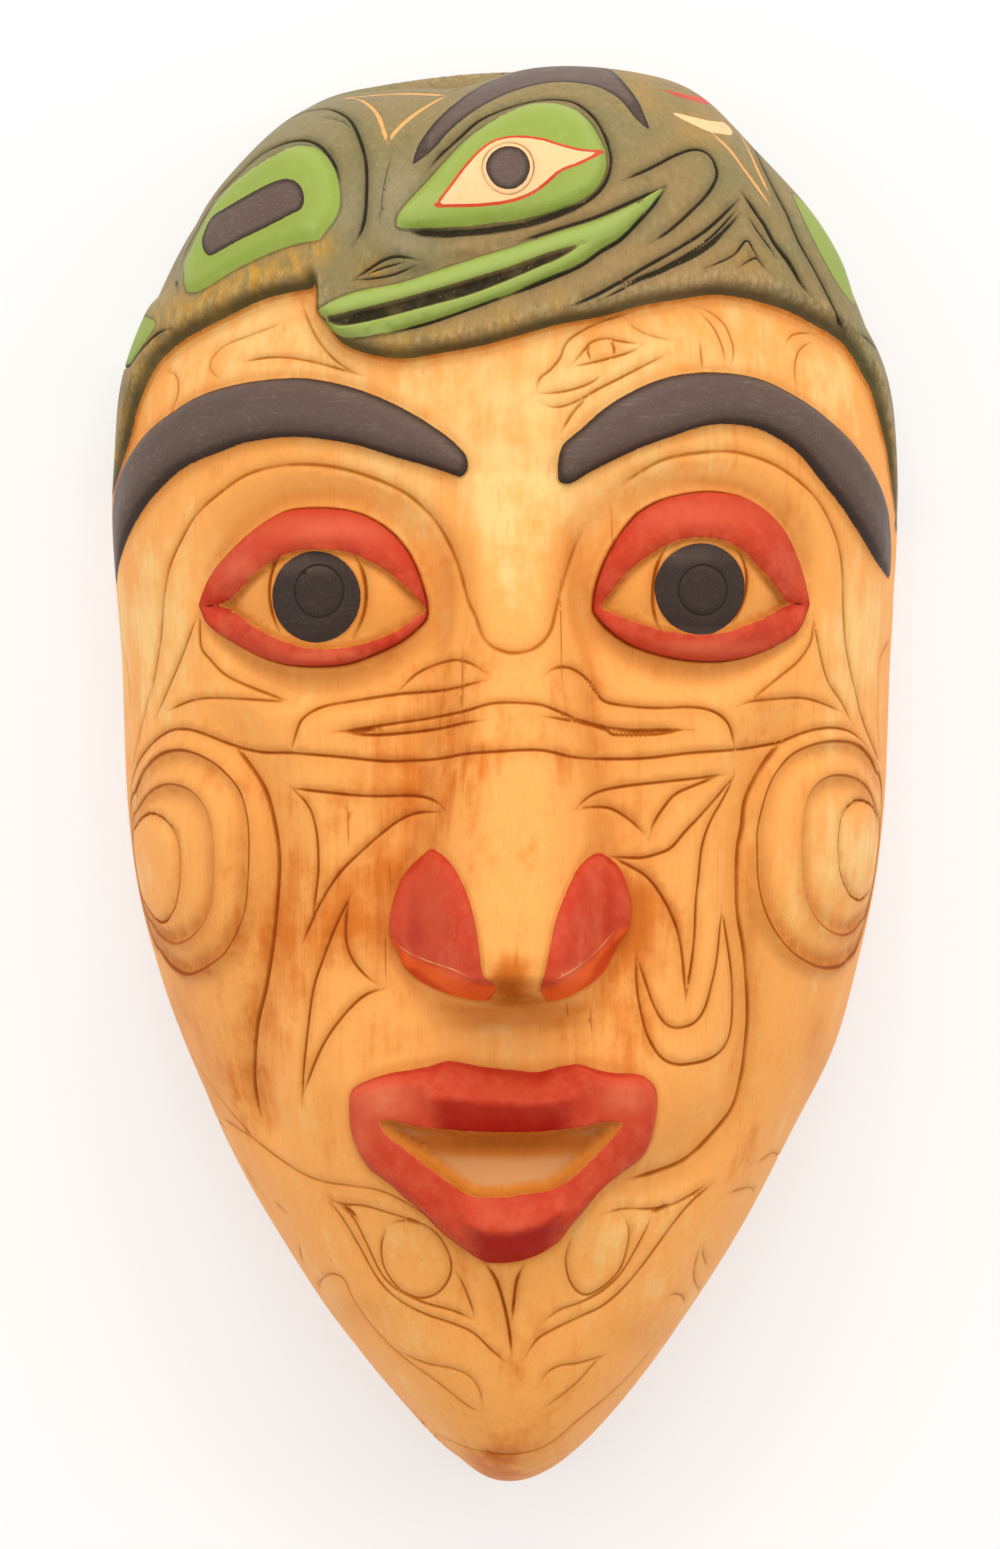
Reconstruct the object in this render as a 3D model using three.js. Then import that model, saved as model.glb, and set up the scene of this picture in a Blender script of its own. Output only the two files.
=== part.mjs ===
import * as THREE from 'three';

// A carved wooden mask: a human face with a frog lying over the forehead, hollow behind.
// It lies face up on its rim. x runs across the face, y up the face to the crown, and z up from
// the rim's plane to the nose. Lengths are millimetres.

// Driving dimensions
const HALF_HEIGHT = 152.6;
const HALF_WIDTH = 85.2;
const FACE_DEPTH = 84;
const HOLLOW_HALF_HEIGHT = 139;
const HOLLOW_HALF_WIDTH = 73;
const HOLLOW_DEPTH = 66;
const SECTION_ACROSS = 2.4;
const SECTION_DEEP = 2.2;

// Grid of the solid
const FRONT_ROWS = 84;
const FRONT_COLUMNS = 52;
const HOLLOW_COLUMNS = 14;
const ROW_CROWDING = 0.22;
const SNAP = 1.5;

// The front-view sheet: lines are drawn on it in sheet units, as an eye above the rim sees them
const EYE_HEIGHT = 900;
const SHEET_REACH = 4117.6;
const SHEET_MIDDLE = [506, 772];

// Half outline of the rim and profile of the face's middle, as shares of the driving dimensions
const RIM_STATIONS = [
  [0, 1], [0.313, 0.982], [0.498, 0.951], [0.667, 0.866], [0.824, 0.754], [0.95, 0.583], [1, 0.374],
  [0.978, 0.157], [0.962, -0.052], [0.92, -0.21], [0.826, -0.38], [0.634, -0.606], [0.44, -0.776],
  [0.282, -0.889], [0.134, -0.974], [0, -1],
];
const PROFILE_STATIONS = [
  [0, 1], [0.238, 0.99], [0.5, 0.944], [0.762, 0.839], [0.929, 0.655], [1, 0.393], [0.988, 0.066],
  [0.976, -0.328], [0.94, -0.623], [0.857, -0.819], [0.714, -0.937], [0.405, -0.99], [0, -1],
];
const HOLLOW_RIM_STATIONS = [
  [0, 1], [0.52, 0.942], [0.795, 0.806], [0.959, 0.59], [1, 0.36], [0.973, 0.072], [0.904, -0.216],
  [0.712, -0.489], [0.438, -0.719], [0.192, -0.892], [0, -0.942],
];
const HOLLOW_PROFILE_STATIONS = [
  [0, 1], [0.273, 0.978], [0.636, 0.878], [0.879, 0.683], [1, 0.36], [1, 0], [0.97, -0.36],
  [0.848, -0.683], [0.545, -0.863], [0.212, -0.935], [0, -0.942],
];

const clamp = THREE.MathUtils.clamp;
const ramp = THREE.MathUtils.smoothstep;

// Linear look-up in a table whose first column rises
function lookUp(keys, values, key) {
  let low = 0;
  let high = keys.length - 1;
  while (high - low > 1) {
    const middle = (low + high) >> 1;
    if (keys[middle] <= key) low = middle;
    else high = middle;
  }
  const share = clamp((key - keys[low]) / (keys[high] - keys[low]), 0, 1);
  return values[low] + share * (values[high] - values[low]);
}

// Smooth open curve through its stations
function smoothRun(stations, steps = 6) {
  const curve = new THREE.SplineCurve(stations.map(([a, b]) => new THREE.Vector2(a, b)));
  return curve.getPoints(steps * (stations.length - 1)).map((point) => [point.x, point.y]);
}

// Half of a smooth loop that is mirrored about the y axis, from the top station to the last one
function mirroredHalf(stations, acrossSize, alongSize) {
  const half = stations.map(([a, b]) => new THREE.Vector3(a * acrossSize, b * alongSize, 0));
  const other = half.slice(1, -1).reverse().map((point) => new THREE.Vector3(-point.x, point.y, 0));
  const loop = new THREE.CatmullRomCurve3([...half, ...other], true, 'catmullrom', 0.5);
  const steps = 60;
  const total = loop.points.length;
  const points = [];
  for (let i = 0; i <= steps * (half.length - 1); i += 1) {
    points.push(loop.getPoint(i / (steps * total)));
  }
  return points;
}

// The cross-section of a shell: a superellipse, measured by its share of the way round, 0 to 1
const SECTION = (() => {
  const angles = [];
  const lengths = [];
  const place = (angle) => [
    Math.sin(angle) ** (2 / SECTION_ACROSS),
    Math.max(Math.cos(angle), 0) ** (2 / SECTION_DEEP),
  ];
  let length = 0;
  let last = place(0);
  for (let i = 0; i <= 600; i += 1) {
    const angle = (i / 600) * Math.PI / 2;
    const point = place(angle);
    length += Math.hypot(point[0] - last[0], point[1] - last[1]);
    last = point;
    angles.push(angle);
    lengths.push(length);
  }
  const shares = lengths.map((value) => value / length);
  return { angles, shares, length, place };
})();

function sectionPoint(share) {
  const angle = lookUp(SECTION.shares, SECTION.angles, Math.min(Math.abs(share), 1));
  const [across, deep] = SECTION.place(angle);
  return [Math.sign(share) * across, Math.abs(share) >= 1 ? 0 : deep];
}

// A shell: a rim outline in the plane z = 0 and a profile over its middle, with a superellipse
// from side to side. "along" is the length up the profile, 0 where y is 0.
class Shell {
  constructor(rimStations, profileStations, halfWidth, halfHeight, depth) {
    const rim = mirroredHalf(rimStations, halfWidth, halfHeight).reverse();
    const profile = mirroredHalf(profileStations, depth, halfHeight).reverse();
    this.rimY = rim.map((point) => point.y);
    this.rimX = rim.map((point) => point.x);
    this.y = profile.map((point) => point.y);
    this.z = profile.map((point) => point.x);
    this.along = [0];
    for (let i = 1; i < profile.length; i += 1) {
      this.along.push(this.along[i - 1] + profile[i].distanceTo(profile[i - 1]));
    }
    const zero = lookUp(this.y, this.along, 0);
    this.along = this.along.map((value) => value - zero);
    this.bottom = this.along[0];
    this.top = this.along[this.along.length - 1];
  }

  row(along) {
    const y = lookUp(this.along, this.y, along);
    const width = lookUp(this.rimY, this.rimX, y);
    const depth = lookUp(this.along, this.z, along);
    return { y, width, depth, reach: (width + depth) / 2 * SECTION.length };
  }

  point(share, along) {
    const { y, width, depth } = this.row(along);
    const [across, deep] = sectionPoint(share);
    return new THREE.Vector3(width * across, y, depth * deep);
  }

  normal(share, along) {
    const ds = 0.004;
    const dv = 0.4;
    const right = this.point(Math.min(share + ds, 1), along);
    const left = this.point(Math.max(share - ds, -1), along);
    const above = this.point(share, Math.min(along + dv, this.top));
    const below = this.point(share, Math.max(along - dv, this.bottom));
    return right.sub(left).cross(above.sub(below)).normalize();
  }

  // Height of the shell over a place on the rim's plane
  heightOver(x, y) {
    const width = Math.max(lookUp(this.rimY, this.rimX, y), 0.01);
    const inside = Math.max(1 - Math.abs(x / width) ** SECTION_ACROSS, 0);
    return lookUp(this.y, this.z, y) * inside ** (1 / SECTION_DEEP);
  }

  // Share of the way round and length along for a place on the rim's plane
  sharesOver(x, y) {
    const width = Math.max(lookUp(this.rimY, this.rimX, y), 0.01);
    const across = clamp(Math.abs(x / width), 0, 1);
    const angle = Math.asin(across ** (SECTION_ACROSS / 2));
    const share = lookUp(SECTION.angles, SECTION.shares, angle);
    return [Math.sign(x) * share, lookUp(this.y, this.along, y)];
  }
}

const face = new Shell(RIM_STATIONS, PROFILE_STATIONS, HALF_WIDTH, HALF_HEIGHT, FACE_DEPTH);
const hollow = new Shell(
  HOLLOW_RIM_STATIONS, HOLLOW_PROFILE_STATIONS, HOLLOW_HALF_WIDTH, HOLLOW_HALF_HEIGHT, HOLLOW_DEPTH,
);

// Place of a sheet point on the face, as [round, along] in millimetres measured on the surface.
// "lift" is how far the carved surface stands off the shell there.
function onFace(p, q, lift = 0) {
  let x = (p - SHEET_MIDDLE[0]) * EYE_HEIGHT / SHEET_REACH * 0.92;
  let y = (SHEET_MIDDLE[1] - q) * EYE_HEIGHT / SHEET_REACH * 0.92;
  let share = 0;
  let along = 0;
  for (let turn = 0; turn < 24; turn += 1) {
    [share, along] = face.sharesOver(x, y);
    const normal = face.normal(clamp(share, -0.98, 0.98), clamp(along, face.bottom + 2, face.top - 2));
    const z = face.heightOver(x, y) + lift * normal.z;
    const scale = (EYE_HEIGHT - z) / SHEET_REACH;
    x += 0.6 * ((p - SHEET_MIDDLE[0]) * scale - lift * normal.x - x);
    y += 0.6 * ((SHEET_MIDDLE[1] - q) * scale - lift * normal.y - y);
    y = clamp(y, -HALF_HEIGHT, HALF_HEIGHT);
  }
  [share, along] = face.sharesOver(x, y);
  return [share * face.row(along).reach, along];
}

// Nearest place on a drawn line, as [distance, round, along]
function nearestOnLine(points, closed, u, v) {
  let best = [Infinity, u, v];
  const count = closed ? points.length : points.length - 1;
  for (let i = 0; i < count; i += 1) {
    const [au, av] = points[i];
    const [bu, bv] = points[(i + 1) % points.length];
    const du = bu - au;
    const dv = bv - av;
    const size = du * du + dv * dv;
    const share = size > 0 ? clamp(((u - au) * du + (v - av) * dv) / size, 0, 1) : 0;
    const gap = Math.hypot(u - au - share * du, v - av - share * dv);
    if (gap < best[0]) best = [gap, au + share * du, av + share * dv];
  }
  return best;
}

function isInside(points, u, v) {
  let inside = false;
  for (let i = 0, j = points.length - 1; i < points.length; j = i, i += 1) {
    const [au, av] = points[i];
    const [bu, bv] = points[j];
    if (av > v !== bv > v && u < (bu - au) * (v - av) / (bv - av) + au) inside = !inside;
  }
  return inside;
}

// A closed outline on the face, made of smooth runs that meet in corners
class Patch {
  constructor(runs, lift = 0) {
    const drawn = runs.flatMap((run) => smoothRun(run));
    this.points = drawn.map(([p, q]) => onFace(p, q, lift));
    const us = this.points.map((point) => point[0]);
    const vs = this.points.map((point) => point[1]);
    this.box = [Math.min(...us), Math.max(...us), Math.min(...vs), Math.max(...vs)];
  }

  // How far a place lies outside the box round the outline
  outside(u, v) {
    const [left, right, low, high] = this.box;
    return Math.max(left - u, u - right, low - v, v - high);
  }

  // Distance in from the edge, negative outside
  depth(u, v) {
    if (this.outside(u, v) > 10) return -10;
    const [gap] = nearestOnLine(this.points, true, u, v);
    return isInside(this.points, u, v) ? gap : -gap;
  }
}

// An oval laid on the face by its middle, its foremost side and its height on the sheet
class Oval {
  constructor(middle, side, halfHeight) {
    [this.u, this.v] = onFace(...middle);
    const [sideU] = onFace(...side);
    this.halfWidth = Math.abs(sideU - this.u);
    this.halfHeight = halfHeight;
  }

  depth(u, v) {
    const size = Math.hypot((u - this.u) / this.halfWidth, (v - this.v) / this.halfHeight);
    return (1 - size) * Math.min(this.halfWidth, this.halfHeight);
  }

  size(u, v) {
    return Math.hypot((u - this.u) / this.halfWidth, (v - this.v) / this.halfHeight);
  }
}

// Rounded shoulder: 0 at an edge, 1 from "width" inward
function shoulder(depth, width) {
  const share = clamp(depth / width, 0, 1);
  return Math.sqrt(1 - (1 - share) ** 2);
}

// Painted brows, raised and rounded
const BROW_RISE = 3.2;
const browLeft = new Patch([
  [[114, 588], [110, 540], [120, 480], [155, 430], [205, 395], [265, 380], [330, 382], [390, 402],
    [445, 435], [468, 462], [460, 477]],
  [[460, 477], [395, 457], [330, 440], [275, 438], [220, 452], [175, 475], [140, 515], [114, 588]],
], BROW_RISE);
const browRight = new Patch([
  [[558, 480], [563, 445], [605, 408], [665, 378], [725, 373], [785, 392], [845, 440], [880, 500],
    [893, 585]],
  [[893, 585], [860, 535], [820, 480], [780, 440], [725, 424], [670, 437], [610, 462], [558, 482]],
], BROW_RISE);

// Eyes: a socket, an orb set in it, and lids round an almond opening
const EYE_HALF_WIDTH = 24;
const EYE_HALF_HEIGHT = 17;
const SOCKET_DEPTH = 4.5;
const ORB_RISE = 6;
const LID_RISE = 1.4;
const OPENING_DEPTH = 1.6;
const eyes = [
  {
    centre: onFace(316, 592),
    lids: new Patch([
      [[203, 607], [215, 575], [260, 527], [310, 508], [365, 515], [408, 550], [428, 612]],
      [[428, 612], [405, 640], [350, 664], [290, 665], [240, 645], [203, 607]],
    ]),
    opening: new Patch([
      [[205, 605], [245, 575], [290, 552], [340, 551], [385, 570], [427, 612]],
      [[427, 612], [390, 635], [335, 650], [280, 643], [225, 615], [205, 605]],
    ]),
  },
  {
    centre: onFace(700, 580),
    lids: new Patch([
      [[592, 612], [602, 565], [635, 515], [690, 493], [740, 497], [780, 530], [805, 604]],
      [[805, 604], [775, 645], [715, 662], [650, 653], [605, 628], [592, 612]],
    ]),
    opening: new Patch([
      [[596, 612], [630, 570], [680, 541], [730, 539], [770, 568], [797, 604]],
      [[797, 604], [755, 630], [700, 637], [645, 628], [600, 612]],
    ]),
  },
];

// Nose: stations down its ridge as [sheet height, rise, half plateau, half base] in sheet units
const NOSE_MIDDLE = 513;
const NOSE_STATIONS = [
  [470, 0, 44, 62], [520, 2.5, 42, 64], [560, 4.5, 40, 68], [640, 9, 38, 78], [700, 12.5, 38, 86],
  [770, 16.5, 38, 96], [850, 21, 38, 106], [920, 24.5, 36, 112], [955, 25.5, 32, 112],
  [980, 24, 30, 110], [996, 14, 30, 108], [1010, 4, 30, 104], [1024, 0, 30, 100],
];
const noseRows = NOSE_STATIONS.map(([q, rise, plateau, base]) => {
  const [middle, along] = onFace(NOSE_MIDDLE, q, rise);
  const scale = (EYE_HEIGHT - FACE_DEPTH - rise) / SHEET_REACH;
  return { along, middle, rise, plateau: plateau * scale, base: base * scale };
}).reverse();
const noseAlong = noseRows.map((row) => row.along);
const noseTable = Object.fromEntries(
  ['middle', 'rise', 'plateau', 'base'].map((name) => [name, noseRows.map((row) => row[name])]),
);
const WING_RISE = 6;
const wings = [
  new Patch([
    [[432, 848], [403, 876], [389, 927], [406, 969], [448, 994], [489, 1000], [496, 991]],
    [[496, 991], [479, 947], [462, 882], [432, 848]],
  ], 14),
  new Patch([
    [[602, 853], [567, 890], [550, 947], [540, 989], [547, 1002]],
    [[547, 1002], [603, 972], [629, 927], [626, 882], [602, 853]],
  ], 14),
];

// Mouth: muzzle, ridged lips and a sunk opening
const MUZZLE_RISE = 4;
const LIP_RISE = 6.5;
const LIP_RIDGE = 0.45;
const LIP_EDGE = 0.65;
const muzzle = { centre: onFace(506, 1120), halfWidth: 42, halfHeight: 33 };
const lips = new Patch([
  [[349, 1102], [364, 1082], [410, 1070], [447, 1061], [514, 1071], [578, 1064], [638, 1074],
    [657, 1107], [649, 1145], [603, 1188], [558, 1242], [504, 1264], [444, 1234], [387, 1182],
    [358, 1150], [349, 1102]],
], 6);
const mouth = new Patch([
  [[378, 1123], [438, 1129], [510, 1133], [580, 1127], [624, 1124]],
  [[624, 1124], [586, 1165], [549, 1191], [496, 1198], [453, 1185], [410, 1153], [378, 1123]],
], 2);
const MOUTH_DEPTHS = [5, 1];
const [, upperLip] = onFace(506, 1132);
const [, lowerLip] = onFace(506, 1196);

// Cheek discs: three nested ovals that turn round the sides of the head
const DISC_RISE = 1.6;
const DISC_SCOOP = 2;
const discs = [
  [
    new Oval([186, 862], [247, 862], 23.5),
    new Oval([176, 864], [215, 864], 17),
    new Oval([160, 868], [184, 868], 12),
  ],
  [
    new Oval([827, 855], [761, 855], 23.5),
    new Oval([838, 855], [800, 855], 17),
    new Oval([858, 850], [834, 850], 11),
  ],
];

// Valleys from the nose wings round the muzzle
const VALLEY_DEPTH = 2.6;
const VALLEY_REACH = 7;
const valleys = [
  [[233, 745], [266, 792], [279, 860], [273, 941], [257, 1025], [255, 1090], [262, 1117]],
  [[783, 742], [755, 778], [738, 848], [744, 949], [748, 1017], [733, 1107], [687, 1158], [629, 1179]],
].map((run) => smoothRun(run).map(([p, q]) => onFace(p, q)));

// The frog: a layer over the forehead, a domed eye, lips round its mouth and a round left flank
const FROG_RISE = 4;
const frog = new Patch([
  [[100, 520], [110, 505], [125, 460], [143, 400], [163, 362], [188, 340], [225, 320], [262, 302],
    [316, 290]],
  [[316, 290], [318, 312], [342, 343], [385, 358], [440, 354], [520, 336], [600, 318], [680, 300],
    [740, 299], [810, 325], [858, 372], [885, 450], [897, 520], [905, 530]],
  [[905, 530], [1010, 300], [900, 60], [506, 20], [100, 60], [0, 300], [100, 520]],
], FROG_RISE / 2);
const frogEye = new Patch([
  [[397, 228], [429, 180], [470, 137], [530, 107], [585, 118], [606, 160], [590, 195], [530, 218],
    [450, 228], [397, 228]],
], FROG_RISE);
const frogFlank = new Patch([
  [[183, 293], [185, 262], [215, 207], [260, 165], [303, 146], [335, 170], [337, 215], [318, 240],
    [270, 253], [235, 270], [183, 293]],
], FROG_RISE);
const frogLips = new Patch([
  [[318, 310], [360, 291], [440, 270], [520, 245], [600, 219], [665, 187]],
  [[665, 187], [620, 238], [545, 280], [470, 308], [400, 330], [335, 333], [318, 310]],
], FROG_RISE);
const frogMouth = smoothRun([[330, 318], [400, 300], [480, 280], [560, 252], [585, 241]])
  .map(([p, q]) => onFace(p, q, FROG_RISE));

function browRelief(u, v) {
  return BROW_RISE * Math.max(shoulder(browLeft.depth(u, v), 4), shoulder(browRight.depth(u, v), 4));
}

function eyeRelief(u, v) {
  let height = 0;
  for (const { centre, lids, opening } of eyes) {
    const du = u - centre[0];
    const dv = v - centre[1];
    const socket = Math.hypot(du / (EYE_HALF_WIDTH + 4), dv / (EYE_HALF_HEIGHT + 4));
    if (socket > 1.4) continue;
    const orb = 1 - (du / EYE_HALF_WIDTH) ** 2 - (dv / EYE_HALF_HEIGHT) ** 2;
    height -= SOCKET_DEPTH * (1 - ramp(socket, 0.72, 1.25));
    height += ORB_RISE * Math.sqrt(Math.max(orb, 0));
    height += LID_RISE * ramp(lids.depth(u, v), -0.5, 1);
    height -= OPENING_DEPTH * ramp(opening.depth(u, v), -0.5, 1);
  }
  return height;
}

function noseRelief(u, v) {
  if (v < noseAlong[0] || v > noseAlong[noseAlong.length - 1]) return 0;
  const read = (name) => lookUp(noseAlong, noseTable[name], v);
  const side = Math.abs(u - read('middle'));
  const slope = ramp(side, read('plateau') * 0.6, read('base'));
  let height = read('rise') * (1 - slope);
  for (const wing of wings) {
    height += WING_RISE * shoulder(wing.depth(u, v), 8);
  }
  return height;
}

function mouthRelief(u, v) {
  const across = (u - muzzle.centre[0]) / muzzle.halfWidth;
  const up = (v - muzzle.centre[1]) / muzzle.halfHeight;
  const around = Math.hypot(across, up);
  if (around > 1.4) return 0;
  let height = MUZZLE_RISE * (1 - ramp(around, 0.5, 1.25));
  const lip = lips.depth(u, v);
  const opening = mouth.depth(u, v);
  if (lip <= 0) return height;
  if (opening <= 0) {
    const share = lip / (lip - opening);
    const inward = (share - LIP_RIDGE) / (1 - LIP_RIDGE);
    const roof = share < LIP_RIDGE ? share / LIP_RIDGE : 1 - (1 - LIP_EDGE) * inward;
    return height + LIP_RISE * roof;
  }
  const fall = clamp((upperLip - v) / (upperLip - lowerLip), 0, 1);
  const sunk = ramp(opening, 0, 2.5);
  return height + LIP_RISE * LIP_EDGE * (1 - sunk) - THREE.MathUtils.lerp(...MOUTH_DEPTHS, fall) * sunk;
}

function cheekRelief(u, v) {
  let height = 0;
  for (const [outer, middle, inner] of discs) {
    if (outer.size(u, v) > 1.3) continue;
    height += DISC_RISE * ramp(outer.depth(u, v), -3, 0);
    if (inner.size(u, v) < 1) {
      height += DISC_SCOOP * (shoulder(1 - inner.size(u, v), 1) - 0.6);
    } else if (middle.size(u, v) < 1) {
      const share = middle.depth(u, v) / (middle.depth(u, v) - inner.depth(u, v));
      height -= DISC_SCOOP * (1 - share) * ramp(middle.depth(u, v), 0, 1);
    } else if (outer.size(u, v) < 1) {
      const share = outer.depth(u, v) / (outer.depth(u, v) - middle.depth(u, v));
      height -= DISC_SCOOP * (1 - share) * ramp(outer.depth(u, v), 0, 1);
    }
  }
  for (const valley of valleys) {
    height -= VALLEY_DEPTH * Math.exp(-((nearestOnLine(valley, false, u, v)[0] / VALLEY_REACH) ** 2));
  }
  return height;
}

function frogRelief(u, v) {
  let height = FROG_RISE * ramp(frog.depth(u, v), -0.5, 3);
  if (height <= 0) return 0;
  height += 3.5 * shoulder(frogEye.depth(u, v), 14);
  height += 2 * shoulder(frogFlank.depth(u, v), 9);
  height += 2.5 * shoulder(frogLips.depth(u, v), 5);
  height -= 1.5 * Math.exp(-((nearestOnLine(frogMouth, false, u, v)[0] / 3.5) ** 2));
  return height;
}

const crispEdges = [mouth, lips, ...wings, browLeft, browRight, frogEye, frog];

// Everything carved on the face, fading out on the way down to the rim
const RIM_FADE = [15, 52];
function relief(share, along) {
  const u = share * face.row(along).reach;
  const height = browRelief(u, along) + eyeRelief(u, along) + noseRelief(u, along)
    + mouthRelief(u, along) + cheekRelief(u, along) + frogRelief(u, along);
  return height * ramp(face.point(share, along).z, RIM_FADE[0], RIM_FADE[1]);
}

function carvedPoint(share, along) {
  const point = face.point(share, along);
  if (Math.abs(share) >= 1) return point.setZ(0);
  point.addScaledVector(face.normal(share, along), relief(share, along));
  return point.setZ(Math.max(point.z, 0));
}

// Columns stand closer together in the middle of the face, rows where the face is carved
function columnShare(i, columns) {
  const t = (2 * i) / columns - 1;
  return t * (0.76 + 0.24 * t * t);
}

function rowAlong(shell, i, rows) {
  const t = i / rows;
  const eased = t + ROW_CROWDING * Math.sin(2 * Math.PI * t) / (2 * Math.PI);
  return shell.bottom + (shell.top - shell.bottom) * (1 - eased);
}

// Nodes near a carved edge move onto it, so that the edge stays crisp on the grid
function settle(share, along) {
  if (Math.abs(share) > 0.9) return [share, along];
  const u = share * face.row(along).reach;
  for (const patch of crispEdges) {
    if (patch.outside(u, along) > SNAP) continue;
    const [gap, toU, toV] = nearestOnLine(patch.points, true, u, along);
    if (gap < SNAP) return [toU / face.row(toV).reach, toV];
  }
  return [share, along];
}

// The whole mask as one closed body: carved face, flat rim and smooth hollow
function maskGeometry() {
  const positions = [];
  const triangles = [];
  const add = (point) => positions.push(point.x, point.y, point.z) / 3 - 1;
  const hollowRows = FRONT_ROWS / 2;

  // Nodes of a shell, from the crown's pole to the chin's
  function shellGrid(shell, rows, columns, move, place) {
    const grid = [];
    for (let i = 0; i <= rows; i += 1) {
      const along = rowAlong(shell, i, rows);
      if (i === 0 || i === rows) {
        const pole = shell.point(0, along).setX(0).setZ(0);
        const node = { share: 0, along, point: pole, index: add(pole) };
        grid.push(Array(columns + 1).fill(node));
        continue;
      }
      const row = [];
      for (let j = 0; j <= columns; j += 1) {
        const [share, height] = move(columnShare(j, columns), along);
        const point = place(share, height);
        row.push({ share, along: height, point, index: add(point) });
      }
      grid.push(row);
    }
    return grid;
  }

  // Each square is cut along the diagonal that lies closer to the surface
  function shellTriangles(grid, outward, place) {
    for (let i = 0; i + 1 < grid.length; i += 1) {
      for (let j = 0; j + 1 < grid[i].length; j += 1) {
        const [a, b, c, d] = [grid[i][j], grid[i][j + 1], grid[i + 1][j + 1], grid[i + 1][j]];
        const corners = [a, b, c, d];
        const share = corners.reduce((sum, node) => sum + node.share, 0) / 4;
        const along = corners.reduce((sum, node) => sum + node.along, 0) / 4;
        const middle = place(share, along);
        const acrossAC = a.point.clone().lerp(c.point, 0.5).distanceTo(middle);
        const acrossBD = b.point.clone().lerp(d.point, 0.5).distanceTo(middle);
        const pair = acrossBD < acrossAC ? [[a, d, b], [b, d, c]] : [[a, d, c], [a, c, b]];
        for (const [first, second, third] of pair) {
          if (first === second || second === third || first === third) continue;
          const turn = outward ? [first, second, third] : [first, third, second];
          triangles.push(...turn.map((node) => node.index));
        }
      }
    }
  }

  const stay = (share, along) => [share, along];
  const hollowPoint = (share, along) => hollow.point(share, along);
  const front = shellGrid(face, FRONT_ROWS, FRONT_COLUMNS, settle, carvedPoint);
  const inner = shellGrid(hollow, hollowRows, HOLLOW_COLUMNS, stay, hollowPoint);
  shellTriangles(front, true, carvedPoint);
  shellTriangles(inner, false, hollowPoint);

  // The rim joins two steps of the face's edge to one step of the hollow's
  for (const side of [0, 1]) {
    const outer = front.map((row) => row[side ? FRONT_COLUMNS : 0].index);
    const edge = inner.map((row) => row[side ? HOLLOW_COLUMNS : 0].index);
    for (let i = 0; i < hollowRows; i += 1) {
      const strip = [
        [outer[2 * i], outer[2 * i + 1], edge[i]],
        [outer[2 * i + 1], edge[i + 1], edge[i]],
        [outer[2 * i + 1], outer[2 * i + 2], edge[i + 1]],
      ];
      for (const [a, b, c] of strip) {
        triangles.push(...(side ? [a, b, c] : [a, c, b]));
      }
    }
  }

  const geometry = new THREE.BufferGeometry();
  geometry.setAttribute('position', new THREE.Float32BufferAttribute(positions, 3));
  geometry.setIndex(triangles);
  geometry.computeVertexNormals();
  return geometry;
}

const wood = new THREE.MeshStandardMaterial({ color: 0xe69a50, roughness: 0.55, metalness: 0 });
const mask = new THREE.Mesh(maskGeometry(), wood);
mask.name = 'mask';

const model = new THREE.Group();
model.add(mask);
export default model;
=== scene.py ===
import bpy
import numpy as np
from bpy.props import FloatProperty, FloatVectorProperty, IntProperty, PointerProperty
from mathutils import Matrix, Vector
from mathutils.geometry import delaunay_2d_cdt


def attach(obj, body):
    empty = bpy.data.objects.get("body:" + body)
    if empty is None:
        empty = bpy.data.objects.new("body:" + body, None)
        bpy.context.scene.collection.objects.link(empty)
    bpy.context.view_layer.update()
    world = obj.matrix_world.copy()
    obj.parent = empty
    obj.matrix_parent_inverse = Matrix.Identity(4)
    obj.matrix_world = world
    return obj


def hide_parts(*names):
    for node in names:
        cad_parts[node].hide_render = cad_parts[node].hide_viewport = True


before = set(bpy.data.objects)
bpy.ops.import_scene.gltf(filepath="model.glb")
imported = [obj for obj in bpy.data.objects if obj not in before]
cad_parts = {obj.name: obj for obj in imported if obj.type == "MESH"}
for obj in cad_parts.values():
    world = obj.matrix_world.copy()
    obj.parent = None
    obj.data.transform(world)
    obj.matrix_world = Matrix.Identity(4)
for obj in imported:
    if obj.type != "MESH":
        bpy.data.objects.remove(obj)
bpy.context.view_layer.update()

bl_info = {
    "name": "Carved frog mask",
    "version": (1, 0, 0),
    "blender": (4, 5, 0),
    "location": "View3D > Sidebar > Mask",
    "description": "Carves, paints and lights a wooden face mask with a frog over its forehead",
    "category": "Object",
}

# Lengths are millimetres until the mesh is written. x runs across the face, y up the face to the
# crown, and z up from the rim's plane to the nose.
MM = 0.001

# Powers of the superellipse from side to side: 2 is an ellipse, and more is squarer
SECTION_ACROSS = 2.4
SECTION_DEEP = 2.2

# How many distances are worked out at one time
BLOCK = 3000000

# The front-view sheet: the carving is drawn in its units, as an eye above the rim sees it
EYE_HEIGHT = 900.0
SHEET_REACH = 4117.6
SHEET_MIDDLE = (506.0, 772.0)
SHEET_SIZE = (1000.0, 1549.0)

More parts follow.
